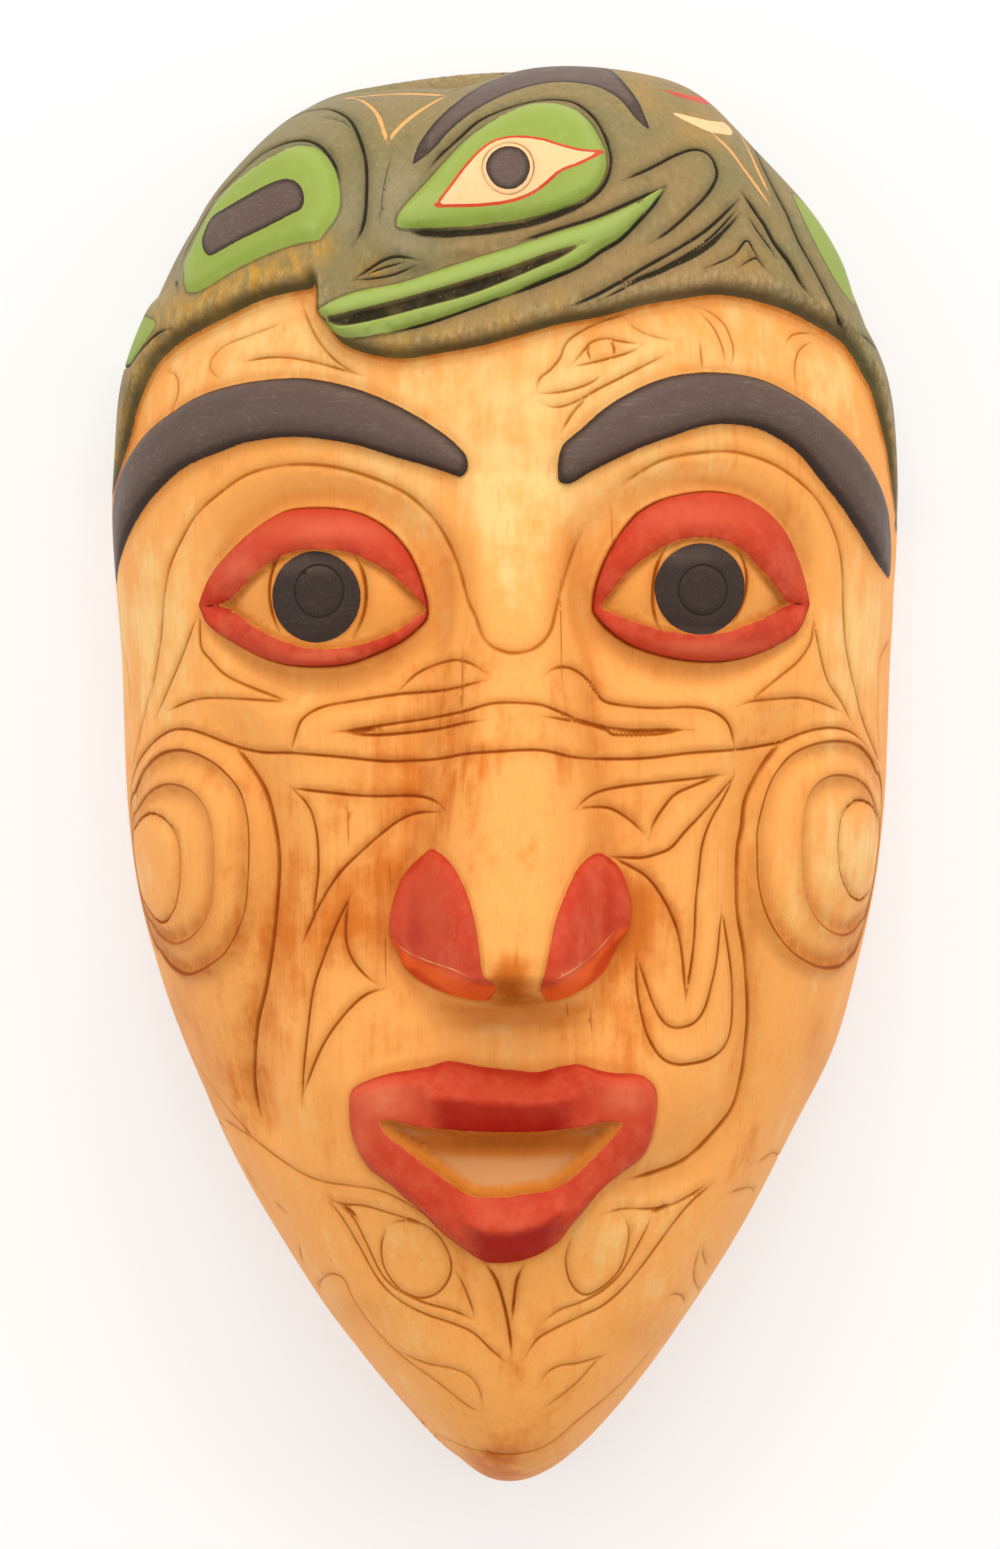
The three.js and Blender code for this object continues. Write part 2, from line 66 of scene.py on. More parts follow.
# Half outlines and middle profiles of the face and of the hollow, as shares of their sizes
RIM_STATIONS = [
    (0, 1), (0.313, 0.982), (0.498, 0.951), (0.667, 0.866), (0.824, 0.754), (0.95, 0.583),
    (1, 0.374), (0.978, 0.157), (0.962, -0.052), (0.92, -0.21), (0.826, -0.38), (0.634, -0.606),
    (0.44, -0.776), (0.282, -0.889), (0.134, -0.974), (0, -1),
]
PROFILE_STATIONS = [
    (0, 1), (0.238, 0.99), (0.5, 0.944), (0.762, 0.839), (0.929, 0.655), (1, 0.393), (0.988, 0.066),
    (0.976, -0.328), (0.94, -0.623), (0.857, -0.819), (0.714, -0.937), (0.405, -0.99), (0, -1),
]
HOLLOW_RIM_STATIONS = [
    (0, 1), (0.52, 0.942), (0.795, 0.806), (0.959, 0.59), (1, 0.36), (0.973, 0.072),
    (0.904, -0.216), (0.712, -0.489), (0.438, -0.719), (0.192, -0.892), (0, -0.942),
]
HOLLOW_PROFILE_STATIONS = [
    (0, 1), (0.273, 0.978), (0.636, 0.878), (0.879, 0.683), (1, 0.36), (1, 0), (0.97, -0.36),
    (0.848, -0.683), (0.545, -0.863), (0.212, -0.935), (0, -0.942),
]


def ramp(value, low, high):
    """Smooth step: 0 below low, 1 above high, and 3t^2 - 2t^3 between."""
    t = np.clip((value - low) / (high - low), 0, 1)
    return t * t * (3 - 2 * t)


def rounded(value, low, high):
    """Straight step with the two ends rounded: the mean of the smooth step and the plain one."""
    return (ramp(value, low, high) + np.clip((value - low) / (high - low), 0, 1)) / 2


def shoulder(depth, width):
    """Quarter circle: 0 at an edge, 1 from width inward."""
    t = np.clip(depth / width, 0, 1)
    return np.sqrt(1 - (1 - t) ** 2)


def bells(x, y, spots):
    """Sum of round bells: amount times exp(-(gap / radius)^2)."""
    return sum(amount * np.exp(-((x - a) ** 2 + (y - b) ** 2) / radius ** 2)
               for a, b, radius, amount in spots)


def smears(x, y, spots):
    """Sum of oval bells: amount times exp(-(gap across / reach across)^2 - (gap up / reach up)^2)."""
    return sum(amount * np.exp(-((x - a) / across) ** 2 - ((y - b) / up) ** 2)
               for a, b, across, up, amount in spots)


def spline(corners, steps):
    """Catmull-Rom spans between the inner corners: cubics whose slopes are half the next-neighbour gaps."""
    a, b, c, d = corners[:-3], corners[1:-2], corners[2:-1], corners[3:]
    slope_b = (c - a)[:, None] / 2
    slope_c = (d - b)[:, None] / 2
    b, c = b[:, None], c[:, None]
    t = (np.arange(steps) / steps)[None, :, None]
    cubic = (2 * b - 2 * c + slope_b + slope_c) * t ** 3
    square = (3 * c - 3 * b - 2 * slope_b - slope_c) * t ** 2
    return (cubic + square + slope_b * t + b).reshape(-1, corners.shape[1])


def steps_along(points):
    """Length of each step between a run's points."""
    return np.hypot(*np.diff(points, axis=0).T)


def lengths_along(points):
    """Length of a run of points up to each of them."""
    return np.concatenate([[0], np.cumsum(steps_along(points))])


def smooth_run(stations, steps=8):
    """Smooth open curve through a row of stations, with the end stations doubled."""
    points = np.asarray(stations, float).reshape(-1, 2)
    corners = np.vstack([points[:1], points, points[-1:]])
    return np.vstack([spline(corners, steps), points[-1:]])


def mirrored_half(stations, across, along, steps=60):
    """Half of a smooth closed loop that is mirrored about the y axis, from the last station to the first."""
    half = np.asarray(stations, float) * (across, along)
    other = half[-2:0:-1] * (-1, 1)
    loop = np.vstack([half, other])
    corners = np.vstack([loop[-1:], loop, loop[:2]])
    return spline(corners, steps)[:steps * (len(half) - 1) + 1][::-1]


class Section:
    """Cross-section from side to side: a superellipse, measured by its share of the way round, 0 to 1."""

    angles = np.linspace(0, np.pi / 2, 601)

    def __init__(self):
        lengths = lengths_along(np.stack(self.place(self.angles), 1))
        self.length = lengths[-1]
        self.shares = lengths / self.length

    @staticmethod
    def place(angle):
        """x is sin(angle)^(2/across) and z is cos(angle)^(2/deep)."""
        across = np.sin(angle) ** (2 / SECTION_ACROSS)
        return across, np.maximum(np.cos(angle), 0) ** (2 / SECTION_DEEP)

    def point(self, share):
        """Places across and deep on the section: the share is negative to the left."""
        size = np.minimum(np.abs(share), 1)
        across, deep = self.place(np.interp(size, self.shares, self.angles))
        return np.sign(share) * across, np.where(size >= 1, 0, deep)


SECTION = Section()


class Shell:
    """A rim outline in the plane z = 0 and a profile over its middle, joined by superellipses.

    A place on it is its share of the way round, -1 to 1, and its length along the profile, 0 at y = 0.
    """

    def __init__(self, rim_stations, profile_stations, half_width, half_height, depth):
        rim = mirrored_half(rim_stations, half_width, half_height)
        profile = mirrored_half(profile_stations, depth, half_height)
        self.rim_x, self.rim_y = rim.T
        self.z, self.y = profile.T
        along = lengths_along(profile)
        self.along = along - np.interp(0, self.y, along)
        self.bottom = self.along[0]
        self.top = self.along[-1]

    def row(self, along):
        """y, half width, depth and quarter girth of the cross-section at a length along."""
        y = np.interp(along, self.along, self.y)
        width = np.interp(y, self.rim_y, self.rim_x)
        depth = np.interp(along, self.along, self.z)
        return y, width, depth, (width + depth) / 2 * SECTION.length

    def reach(self, along):
        """Length from the middle round to the rim."""
        return self.row(along)[3]

    def point(self, share, along):
        """x, y and z of a place: the section, scaled by the row's half width and depth."""
        y, width, depth, _ = self.row(along)
        across, deep = SECTION.point(share)
        return np.stack([width * across, y, depth * deep], 1)

    def normal(self, share, along):
        """Cross product of the steps to the right and up the face, made a unit."""
        share_step, along_step = 0.004, 0.4
        right = self.point(np.minimum(share + share_step, 1), along)
        left = self.point(np.maximum(share - share_step, -1), along)
        above = self.point(share, np.minimum(along + along_step, self.top))
        below = self.point(share, np.maximum(along - along_step, self.bottom))
        normal = np.cross(right - left, above - below)
        return normal / np.maximum(np.linalg.norm(normal, axis=1), 1e-9)[:, None]

    def over(self, x, y):
        """Height, share and length along of the shell over places on the rim's plane."""
        width = np.maximum(np.interp(y, self.rim_y, self.rim_x), 0.01)
        across = np.clip(np.abs(x / width), 0, 1)
        height = np.interp(y, self.y, self.z) * (1 - across ** SECTION_ACROSS) ** (1 / SECTION_DEEP)
        share = np.interp(np.arcsin(across ** (SECTION_ACROSS / 2)), SECTION.angles, SECTION.shares)
        return height, np.sign(x) * share, np.interp(y, self.y, self.along)


class Sheet:
    """The front-view sheet, wrapped onto the face."""

    # Where each point starts along its line of sight, how often and how far it moves, and how near the
    # face's ends and its rim its direction is read
    START = 0.92
    ROUNDS = 24
    PULL = 0.6
    END_GAP = 2
    WIDEST = 0.98

    def __init__(self, face, half_height):
        self.face = face
        self.half_height = half_height

    def place(self, drawn, lift=0.0):
        """Places of sheet points on the face, as (round, along) in millimetres on its surface.

        Each point is moved along its line of sight until it meets the face, standing lift off it.
        """
        p, q = np.asarray(drawn, float).reshape(-1, 2).T
        p = p - SHEET_MIDDLE[0]
        q = SHEET_MIDDLE[1] - q
        start = EYE_HEIGHT / SHEET_REACH * self.START
        x, y = p * start, q * start
        for _ in range(self.ROUNDS):
            z, share, along = self.face.over(x, y)
            inner = np.clip(along, self.face.bottom + self.END_GAP, self.face.top - self.END_GAP)
            normal = self.face.normal(np.clip(share, -self.WIDEST, self.WIDEST), inner)
            scale = (EYE_HEIGHT - z - lift * normal[:, 2]) / SHEET_REACH
            x = x + self.PULL * (p * scale - lift * normal[:, 0] - x)
            y = y + self.PULL * (q * scale - lift * normal[:, 1] - y)
            y = np.clip(y, -self.half_height, self.half_height)
        _, share, along = self.face.over(x, y)
        return np.stack([share * self.face.reach(along), along], 1)


def blocks(count, points):
    """Slices of count places, so many that their distances from all the points fit in one block."""
    size = max(1, BLOCK // len(points))
    return [slice(first, first + size) for first in range(0, count, size)]


def nearest(points, closed, u, v):
    """Distance from each place to a drawn line, and how far along the line its nearest point is."""
    a = points if closed else points[:-1]
    b = np.roll(points, -1, 0) if closed else points[1:]
    step = b - a
    size = np.maximum((step ** 2).sum(1), 1e-12)
    starts = np.concatenate([[0], np.cumsum(np.sqrt(size))[:-1]])
    gaps, places = np.empty(len(u)), np.empty(len(u))
    for part in blocks(len(u), a):
        du = u[part, None] - a[:, 0]
        dv = v[part, None] - a[:, 1]
        share = np.clip((du * step[:, 0] + dv * step[:, 1]) / size, 0, 1)
        gap = np.hypot(du - share * step[:, 0], dv - share * step[:, 1])
        best = gap.argmin(1)
        rows = np.arange(len(best))
        gaps[part] = gap[rows, best]
        places[part] = starts[best] + share[rows, best] * np.sqrt(size[best])
    return gaps, places


def inside(points, u, v):
    """Even-odd rule: a place is inside where a line from it crosses the outline an odd number of times."""
    a, b = points, np.roll(points, -1, 0)
    rise = np.where(b[:, 1] == a[:, 1], 1e-12, b[:, 1] - a[:, 1])
    odd = np.zeros(len(u), bool)
    for part in blocks(len(u), a):
        spans = (a[:, 1] > v[part, None]) != (b[:, 1] > v[part, None])
        across = a[:, 0] + (v[part, None] - a[:, 1]) / rise * (b[:, 0] - a[:, 0])
        odd[part] = (spans & (u[part, None] < across)).sum(1) % 2 == 1
    return odd


def oval_gap(u, v, middle, reaches):
    """Distance from a middle, in shares of the reaches across and up: 1 on the oval's edge."""
    return np.hypot((u - middle[0]) / reaches[0], (v - middle[1]) / reaches[1])


def near_box(points, u, v, margin):
    """True for places within a margin of the box round some points."""
    low, high = points.min(0) - margin, points.max(0) + margin
    return (u > low[0]) & (u < high[0]) & (v > low[1]) & (v < high[1])


class Patch:
    """A closed outline on the face, by the places of its points."""

    def __init__(self, points):
        gaps = np.hypot(*(points - np.roll(points, 1, 0)).T)
        self.points = points[gaps > 1e-6]

    def depth(self, u, v, margin=8.0):
        """Distance in from the edge, negative outside."""
        near = near_box(self.points, u, v, margin)
        depth = np.full(len(u), -margin)
        gap, _ = nearest(self.points, True, u[near], v[near])
        depth[near] = np.where(inside(self.points, u[near], v[near]), gap, -gap)
        return depth


class Oval:
    """An oval laid on the face, from the sheet places of its middle and one side, and its half height."""

    SIDES = 72

    def __init__(self, sheet, middle, side, half_height, lift=0.0):
        self.middle, (side_u, _) = sheet.place([middle, side], lift)
        self.reaches = abs(side_u - self.middle[0]), half_height
        turn = np.linspace(0, 2 * np.pi, self.SIDES + 1)[:-1]
        self.points = self.middle + self.reaches * np.stack([np.cos(turn), np.sin(turn)], 1)

    def depth(self, u, v):
        """Distance in from the edge, near enough."""
        return (1 - oval_gap(u, v, self.middle, self.reaches)) * min(self.reaches)


def ring(seen, bulge, steps=14):
    """A closed outline: the part seen from the front, and half an oval out of sight that bulges outward."""
    first, last = seen[0], seen[-1]
    turn = np.linspace(0, np.pi, steps + 1)[1:-1, None]
    outward = np.array([np.sign(first[0]) * bulge, 0])
    hidden = (first + last) / 2 + (last - first) / 2 * np.cos(turn) + outward * np.sin(turn)
    return Patch(np.vstack([seen, hidden]))


# Outlines on the sheet. Each is one or more smooth runs that meet in corners, and a run is a row of
# places, each across and then down.
# The brows have the part seen from the front, and how far they reach out of sight.
BROWS = [
    ([[117, 490, 122, 478, 135, 455, 155, 430, 180, 410, 205, 395, 235, 385, 265, 380, 300, 378, 330, 382,
       360, 390, 390, 402, 420, 418, 445, 435, 462, 450, 468, 462, 466, 473, 460, 477],
      [460, 477, 430, 467, 395, 457, 360, 446, 330, 440, 300, 437, 275, 438, 245, 443, 220, 452, 195, 462,
       175, 475, 155, 495, 140, 515, 127, 540, 119, 565, 117, 583]], 9),
    ([[888, 578, 875, 560, 860, 535, 840, 505, 820, 480, 800, 455, 780, 440, 755, 428, 725, 424, 700, 427,
       670, 437, 640, 448, 610, 462, 585, 475, 570, 484, 558, 482],
      [558, 480, 558, 462, 563, 445, 580, 430, 605, 408, 635, 390, 665, 378, 695, 373, 725, 373, 755, 378,
       785, 392, 815, 412, 845, 440, 865, 468, 880, 500, 888, 532]], 5),
]
EYE_CENTRES = [(316, 592), (700, 580)]
# The muzzle's middle, and the top and the bottom of the mouth's opening
MUZZLE_PLACES = [(506, 1120), (506, 1132), (506, 1196)]
LIDS = [
    [[203, 605, 215, 575, 235, 550, 260, 527, 285, 512, 310, 508, 340, 509, 365, 515, 390, 530, 408, 550,
      420, 575, 427, 600, 428, 612],
     [428, 612, 425, 622, 405, 640, 380, 653, 350, 664, 320, 667, 290, 665, 265, 658, 240, 645, 215, 628,
      205, 610]],
    [[592, 610, 594, 590, 602, 565, 615, 540, 635, 515, 660, 500, 690, 493, 715, 492, 740, 497, 762, 510,
      780, 530, 792, 555, 800, 580, 805, 604],
     [805, 604, 795, 630, 775, 645, 745, 657, 715, 662, 680, 660, 650, 653, 625, 643, 605, 628, 592, 612]],
]
OPENINGS = [
    [[211, 606, 222, 602, 234, 593, 248, 577, 265, 564, 290, 552, 315, 549, 340, 551, 360, 557, 385, 570,
      405, 587, 416, 598, 426, 611],
     [426, 611, 408, 623, 390, 634, 365, 643, 340, 648, 310, 649, 280, 641, 255, 629, 237, 617, 222, 608,
      211, 606]],
    [[600, 608, 612, 592, 630, 571, 655, 552, 680, 540, 705, 537, 728, 541, 748, 553, 765, 570, 778, 586,
      789, 601, 797, 604],
     [797, 604, 789, 606, 775, 614, 755, 623, 730, 632, 700, 635, 670, 632, 645, 625, 622, 617, 600, 608]],
]
IRISES = [((317, 597), (362, 597), 9.1), ((699.5, 589), (742.5, 589), 9.1)]
PUPIL_RINGS = [((317, 591), (342, 591), 5.2), ((705, 590), (729, 590), 5.0)]
WINGS = [
    [[432, 848, 417, 860, 403, 876, 393, 902, 389, 927, 392, 941, 399, 955, 406, 969, 423, 983, 448, 994,
      473, 1000, 489, 1000, 496, 991],
     [496, 991, 493, 983, 483, 975, 479, 947, 473, 913, 462, 882, 448, 860, 432, 848]],
    [[602, 853, 592, 855, 578, 868, 567, 890, 556, 919, 550, 947, 545, 972, 540, 989, 547, 1002],
     [547, 1002, 567, 997, 587, 986, 603, 972, 613, 955, 620, 941, 629, 927, 631, 904, 626, 882, 617, 865,
      602, 853]],
]
WING_RIDGES = [
    [390, 936, 400, 949, 425, 960, 451, 969, 477, 984],
    [620, 926, 602, 946, 584, 962, 564, 976, 545, 988],
]
LIPS = [
    [349, 1102, 352, 1090, 364, 1082, 387, 1074, 410, 1070, 430, 1066, 447, 1061, 464, 1063, 484, 1067,
     514, 1070, 537, 1072, 558, 1067, 578, 1064, 595, 1069, 615, 1073, 638, 1074, 649, 1080, 656, 1090,
     657, 1107, 654, 1128, 649, 1145, 641, 1158, 624, 1171, 603, 1188, 586, 1208, 569, 1228, 558, 1242,
     537, 1255, 514, 1262, 494, 1263, 481, 1260, 467, 1251, 444, 1234, 424, 1214, 407, 1199, 387, 1182,
     369, 1168, 358, 1150, 351, 1130, 349, 1102],
]
MOUTH = [
    [378, 1123, 390, 1120, 410, 1125, 438, 1129, 481, 1132, 537, 1132, 580, 1127, 603, 1122, 624, 1123],
    [624, 1123, 606, 1145, 586, 1165, 566, 1182, 549, 1191, 523, 1195, 496, 1198, 470, 1196, 453, 1185,
     433, 1171, 410, 1153, 387, 1136, 378, 1123],
]
# The frog's lower edge; above it the frog goes on round the crown
FROG = [
    [98, 545, 104, 520, 110, 505, 118, 480, 125, 460, 132, 440, 137, 420, 143, 400, 152, 380, 163, 362,
     188, 340, 225, 320, 262, 302, 290, 294, 314, 290],
    [314, 290, 317, 284, 318, 300, 318, 312, 325, 322, 333, 332, 342, 343, 360, 352, 385, 358, 410, 359,
     440, 354, 480, 347, 520, 336, 560, 325, 600, 318, 640, 307, 680, 300, 710, 296, 740, 299, 780, 310,
     810, 325, 835, 340, 848, 355, 858, 372, 868, 390, 877, 420, 885, 450, 888, 470, 893, 500, 900, 545],
]
FROG_EYE = [
    [397, 228, 400, 212, 429, 180, 445, 162, 470, 137, 500, 118, 530, 107, 560, 107, 585, 118, 600, 140,
     606, 160, 603, 178, 590, 195, 565, 208, 530, 218, 490, 224, 450, 228, 415, 229, 397, 228],
]
FROG_ALMOND = [
    [435, 206, 450, 187, 465, 167, 480, 151, 495, 141, 515, 137, 540, 139, 560, 145, 580, 150, 603, 152],
    [603, 152, 580, 163, 560, 171, 545, 184, 530, 194, 510, 201, 480, 205, 435, 206],
]
FROG_IRIS = ((508, 167), (530, 167), 4.8)
FROG_IRIS_RING = ((508, 167), (534, 167), 5.7)
FROG_FLANK = [
    [187, 292, 185, 280, 189, 262, 199, 240, 216, 208, 235, 185, 260, 165, 290, 148, 305, 146, 322, 152,
     335, 170, 340, 195, 337, 215, 325, 232, 318, 240, 300, 243, 270, 253, 235, 270, 202, 290, 187, 292],
]
FROG_FLANK_OVAL = [
    [204, 240, 215, 218, 235, 203, 265, 186, 285, 179, 298, 183, 304, 195, 302, 208, 290, 215, 265, 228,
     240, 240, 222, 250, 210, 256, 204, 250, 204, 240],
]
FROG_LIPS = [
    [318, 310, 335, 300, 360, 291, 400, 283, 440, 270, 480, 257, 520, 245, 560, 232, 600, 219, 630, 206,
     665, 187],
    [665, 187, 655, 202, 640, 218, 620, 238, 600, 250, 580, 264, 545, 280, 510, 294, 470, 308, 430, 322,
     400, 330, 380, 334, 350, 338, 335, 333, 325, 322, 318, 310],
]
FROG_MOUTH = [
    [322, 317, 345, 311, 375, 304, 421, 292, 469, 278, 511, 265, 547, 252, 586, 241],
    [586, 241, 560, 257, 541, 265, 511, 278, 469, 294, 421, 307, 375, 319, 342, 325, 330, 322, 322, 317],
]
FROG_BROW = [
    [412, 166, 418, 146, 435, 122, 457, 102, 479, 87, 505, 76, 540, 68, 570, 65, 600, 68, 615, 75, 630, 90,
     640, 105, 651, 132],
    [651, 132, 635, 118, 620, 100, 600, 88, 575, 83, 550, 83, 525, 88, 500, 97, 472, 113, 450, 131, 433, 150,
     412, 166],
]
# The frog's feet, and the cream and the red marks beside its eye: the edge seen from the front, and how
# far they reach out of sight
FROG_FEET = [
    ([138, 318, 148, 318, 156, 324, 148, 338, 137, 356, 126, 375, 117, 396, 110, 420], 8),
    ([791, 194, 803, 219, 815, 243, 827, 266, 839, 287, 851, 304], 15),
]
CREAM_WEDGE = [722, 123, 708, 121, 692, 117, 672, 113, 694, 125, 710, 132, 726, 135], 3
RED_SLIT = [706, 101, 692, 97.5, 676, 93.5, 662, 90, 676, 96.5, 690, 101, 702, 105], 2

# Lines cut with a knife: (half width, depth, darkness of the stain left in them, creep of stain beside)
FINE_CUT = (0.5, 0.45, 0.8, 0.9)
SHALLOW_CUT = (0.5, 0.4, 0.6, 1.0)
FAINT_CUT = (0.48, 0.3, 0.4, 0.7)
HAIR_CUT = (0.25, 0.12, 0.45, 0.3)
CHIN_CUT = (0.5, 0.4, 0.52, 1.0)
BOLD_CUT = (0.7, 0.7, 0.85, 1.1)
SOCKET_CUT = (0.72, 0.5, 0.5, 1.4)
VALLEY_CUT = (0.75, 0.5, 0.75, 2.8)
EYEBALL_CUT = (0.6, 0.35, 0.9, 0.8)
LID_CUT = (0.4, 0.3, 0.7, 0.5)
FROG_CUT = (0.58, 0.6, 1.0, 1.0)
FROG_FINE_CUT = (0.42, 0.4, 0.85, 0.4)
FROG_BOLD_CUT = (0.8, 0.7, 1.0, 0.7)
FROG_BAND_CUT = (1.2, 0.6, 0.9, 0.5)
RING_CUTS = ((0.55, 0.5, 0.75, 2.2), (0.5, 0.4, 0.5, 1.6), (0.5, 0.4, 0.72, 0.9))
PUPIL_CUT = (0.35, 0.2, 1.0, 0.3)
FROG_PUPIL_CUT = (0.35, 0.15, 0.45, 0.3)
BARE_CUT = (0.66, 0.35, 1.0, 0.3)
BARE_CROWN_CUT = (1.5, 0.35, 1.0, 0.3)
WORN_CUT = (0.32, 0.0, 0.42, 0.3)

FOREHEAD_LINES = [
    [302, 303, 310, 325, 320, 343, 335, 360, 350, 370, 362, 376],
    [243, 362, 262, 358, 282, 357, 305, 360, 330, 366, 362, 376],
    [635, 312, 600, 322, 575, 335, 565, 345, 560, 358, 550, 370, 540, 378, 536, 390, 535, 395],
    [535, 393, 550, 393, 570, 390, 590, 383, 604, 373],
    [540, 402, 553, 407, 567, 405, 582, 398, 600, 388, 620, 378, 645, 365, 670, 353],
    [590, 395, 575, 410, 565, 425, 561, 433],
    [568, 367, 580, 355, 590, 343, 605, 338, 620, 341, 645, 344],
    [568, 367, 590, 363, 610, 358, 630, 352, 645, 344],
    [590, 343, 588, 352, 592, 362],
    [610, 339, 614, 347, 614, 357],
]
FOREHEAD_FAINT_LINES = [
    [290, 320, 250, 335, 225, 345, 212, 358, 210, 370, 222, 380],
    [165, 371, 175, 375, 178, 390, 172, 410, 165, 425],
    [625, 318, 635, 328, 650, 335, 680, 342],
    [692, 305, 710, 312, 725, 325, 733, 345, 733, 360, 727, 368],
    [695, 308, 712, 325, 722, 345, 725, 360, 727, 368],
    [785, 348, 790, 337, 800, 333, 815, 334],
    [815, 340, 800, 350, 795, 370, 798, 395],
    [700, 340, 703, 372],
]
SOCKET_LINES = [
    [150, 700, 160, 640, 163, 600, 168, 570, 178, 545, 195, 515, 220, 492, 245, 475, 275, 466, 305, 464,
     335, 467, 365, 475, 395, 487, 415, 500, 435, 520, 450, 545, 460, 570, 468, 600, 475, 615, 485, 640,
     500, 650, 515, 653, 535, 648, 550, 632, 557, 605, 565, 575, 575, 545, 580, 535],
    [618, 487, 640, 472, 665, 459, 695, 453, 730, 451, 760, 458, 785, 470, 810, 490, 825, 510, 838, 540,
     843, 570, 844, 610, 846, 640, 850, 665, 857, 695, 862, 716, 873, 745, 881, 764],
]
EYE_LINES = [
    [197, 615, 193, 625, 180, 660, 165, 695, 156, 716],
    [200, 610, 200, 645, 210, 660, 225, 675, 250, 687, 293, 703],
    [167, 711, 193, 700, 221, 698, 274, 701, 293, 702],
    [813, 615, 812, 640, 800, 660, 780, 677, 749, 702],
    [814, 617, 820, 650, 828, 680, 842, 702, 852, 723],
    [737, 707, 749, 702, 775, 699, 803, 698, 825, 704, 842, 712],
]
SIDE_LINES = [
    [153, 680, 141, 728, 131, 773],
    [120, 610, 122, 640, 127, 670, 131, 700],
    [890, 640, 880, 660, 878, 694, 878, 731, 881, 764],
]
# Short cuts out of the outer corners of the eyes
LID_CORNERS = [
    [204, 607, 208, 606, 214, 606],
    [794, 604, 799, 604, 804, 605],
]
EYEBALL_LINES = [
    [280, 554, 272, 571, 269, 592, 272, 613, 279, 631],
    [355, 556, 363, 573, 366, 594, 363, 616, 354, 636],
    [666, 547, 657, 566, 653, 590, 654, 612, 660, 630],
    [737, 549, 745, 565, 747, 583, 743, 603, 733, 623],
]
BRIDGE_LINES = [
    [291, 752, 294, 739, 302, 719, 322, 707, 353, 701, 400, 694, 445, 690, 485, 680],
    [398, 692, 415, 675, 435, 665, 455, 660, 470, 663, 485, 672],
    [333, 732, 358, 729, 397, 723, 431, 718, 465, 711, 496, 703, 536, 704, 553, 709, 575, 718, 601, 726,
     629, 730, 662, 730, 692, 730],
    [341, 733, 378, 735, 431, 730, 465, 723, 486, 720],
    [542, 716, 578, 722, 606, 730, 615, 735, 648, 735, 688, 730],
    [584, 680, 595, 691, 606, 702, 637, 707, 665, 708, 690, 707, 710, 710, 724, 718, 731, 729, 735, 749],
    [545, 675, 555, 668, 570, 668, 585, 677, 600, 692],
    [130, 798, 136, 767, 150, 745, 167, 732, 181, 729, 198, 732, 232, 745, 260, 752, 291, 753, 341, 757,
     381, 761, 406, 761, 437, 759, 465, 754, 490, 752, 539, 750, 573, 757, 606, 759, 648, 758, 690, 753,
     733, 750, 761, 746, 780, 742, 803, 733, 819, 729, 836, 728, 853, 733, 867, 747, 878, 767, 881, 778],
]
BRIDGE_BOLD_LINES = [
    [341, 732, 358, 731, 380, 729],
    [612, 731, 640, 731, 688, 730],
]
VALLEY_LINES = [
    [233, 745, 249, 764, 266, 792, 275, 826, 279, 860, 277, 899, 273, 941, 266, 986, 257, 1025, 254, 1073,
     257, 1101, 262, 1117],
    [783, 742, 769, 756, 755, 778, 745, 801, 742, 826, 738, 848, 737, 876, 738, 913, 744, 949, 747, 983,
     748, 1017, 745, 1053, 741, 1079, 733, 1107, 713, 1133, 687, 1158, 658, 1171, 629, 1179],
]
CHEEK_LINES = [
    [291, 788, 308, 806, 316, 831, 318, 860, 317, 882, 312, 920],
    [291, 788, 324, 792, 367, 796, 417, 796, 437, 802, 445, 810],
    [441, 812, 417, 813, 395, 823, 367, 846, 341, 871, 324, 896, 313, 918, 302, 944],
    [354, 890, 347, 902, 333, 932, 322, 961, 313, 989, 308, 1025, 303, 1073, 302, 1105],
    [350, 896, 346, 918, 346, 941, 353, 961, 367, 977, 376, 983],
    [384, 989, 367, 994, 350, 1008, 330, 1033, 316, 1059, 304, 1092],
    [575, 809, 587, 798, 601, 791, 626, 786, 662, 782, 699, 778, 725, 774],
    [578, 809, 592, 807, 609, 808, 623, 815, 637, 826, 648, 838],
    [650, 837, 654, 823, 665, 806, 676, 794, 696, 785, 722, 775],
    [735, 775, 724, 789, 704, 812, 685, 832, 671, 848, 654, 855, 637, 858, 609, 856],
    [609, 856, 626, 864, 646, 876, 660, 893, 671, 913, 679, 935, 683, 961, 686, 1000],
    [735, 775, 724, 798, 710, 823, 702, 848, 699, 876, 696, 904, 695, 933, 692, 961, 686, 1000],
    [722, 908, 720, 933, 717, 961, 711, 989, 704, 1011, 693, 1024, 676, 1028, 664, 1022, 654, 1005, 646, 983,
     637, 955],
    [722, 908, 728, 944, 732, 975, 733, 1003, 731, 1031, 724, 1048, 710, 1059, 690, 1064, 674, 1064,
     660, 1056, 648, 1036, 641, 1011, 637, 986, 636, 952],
]
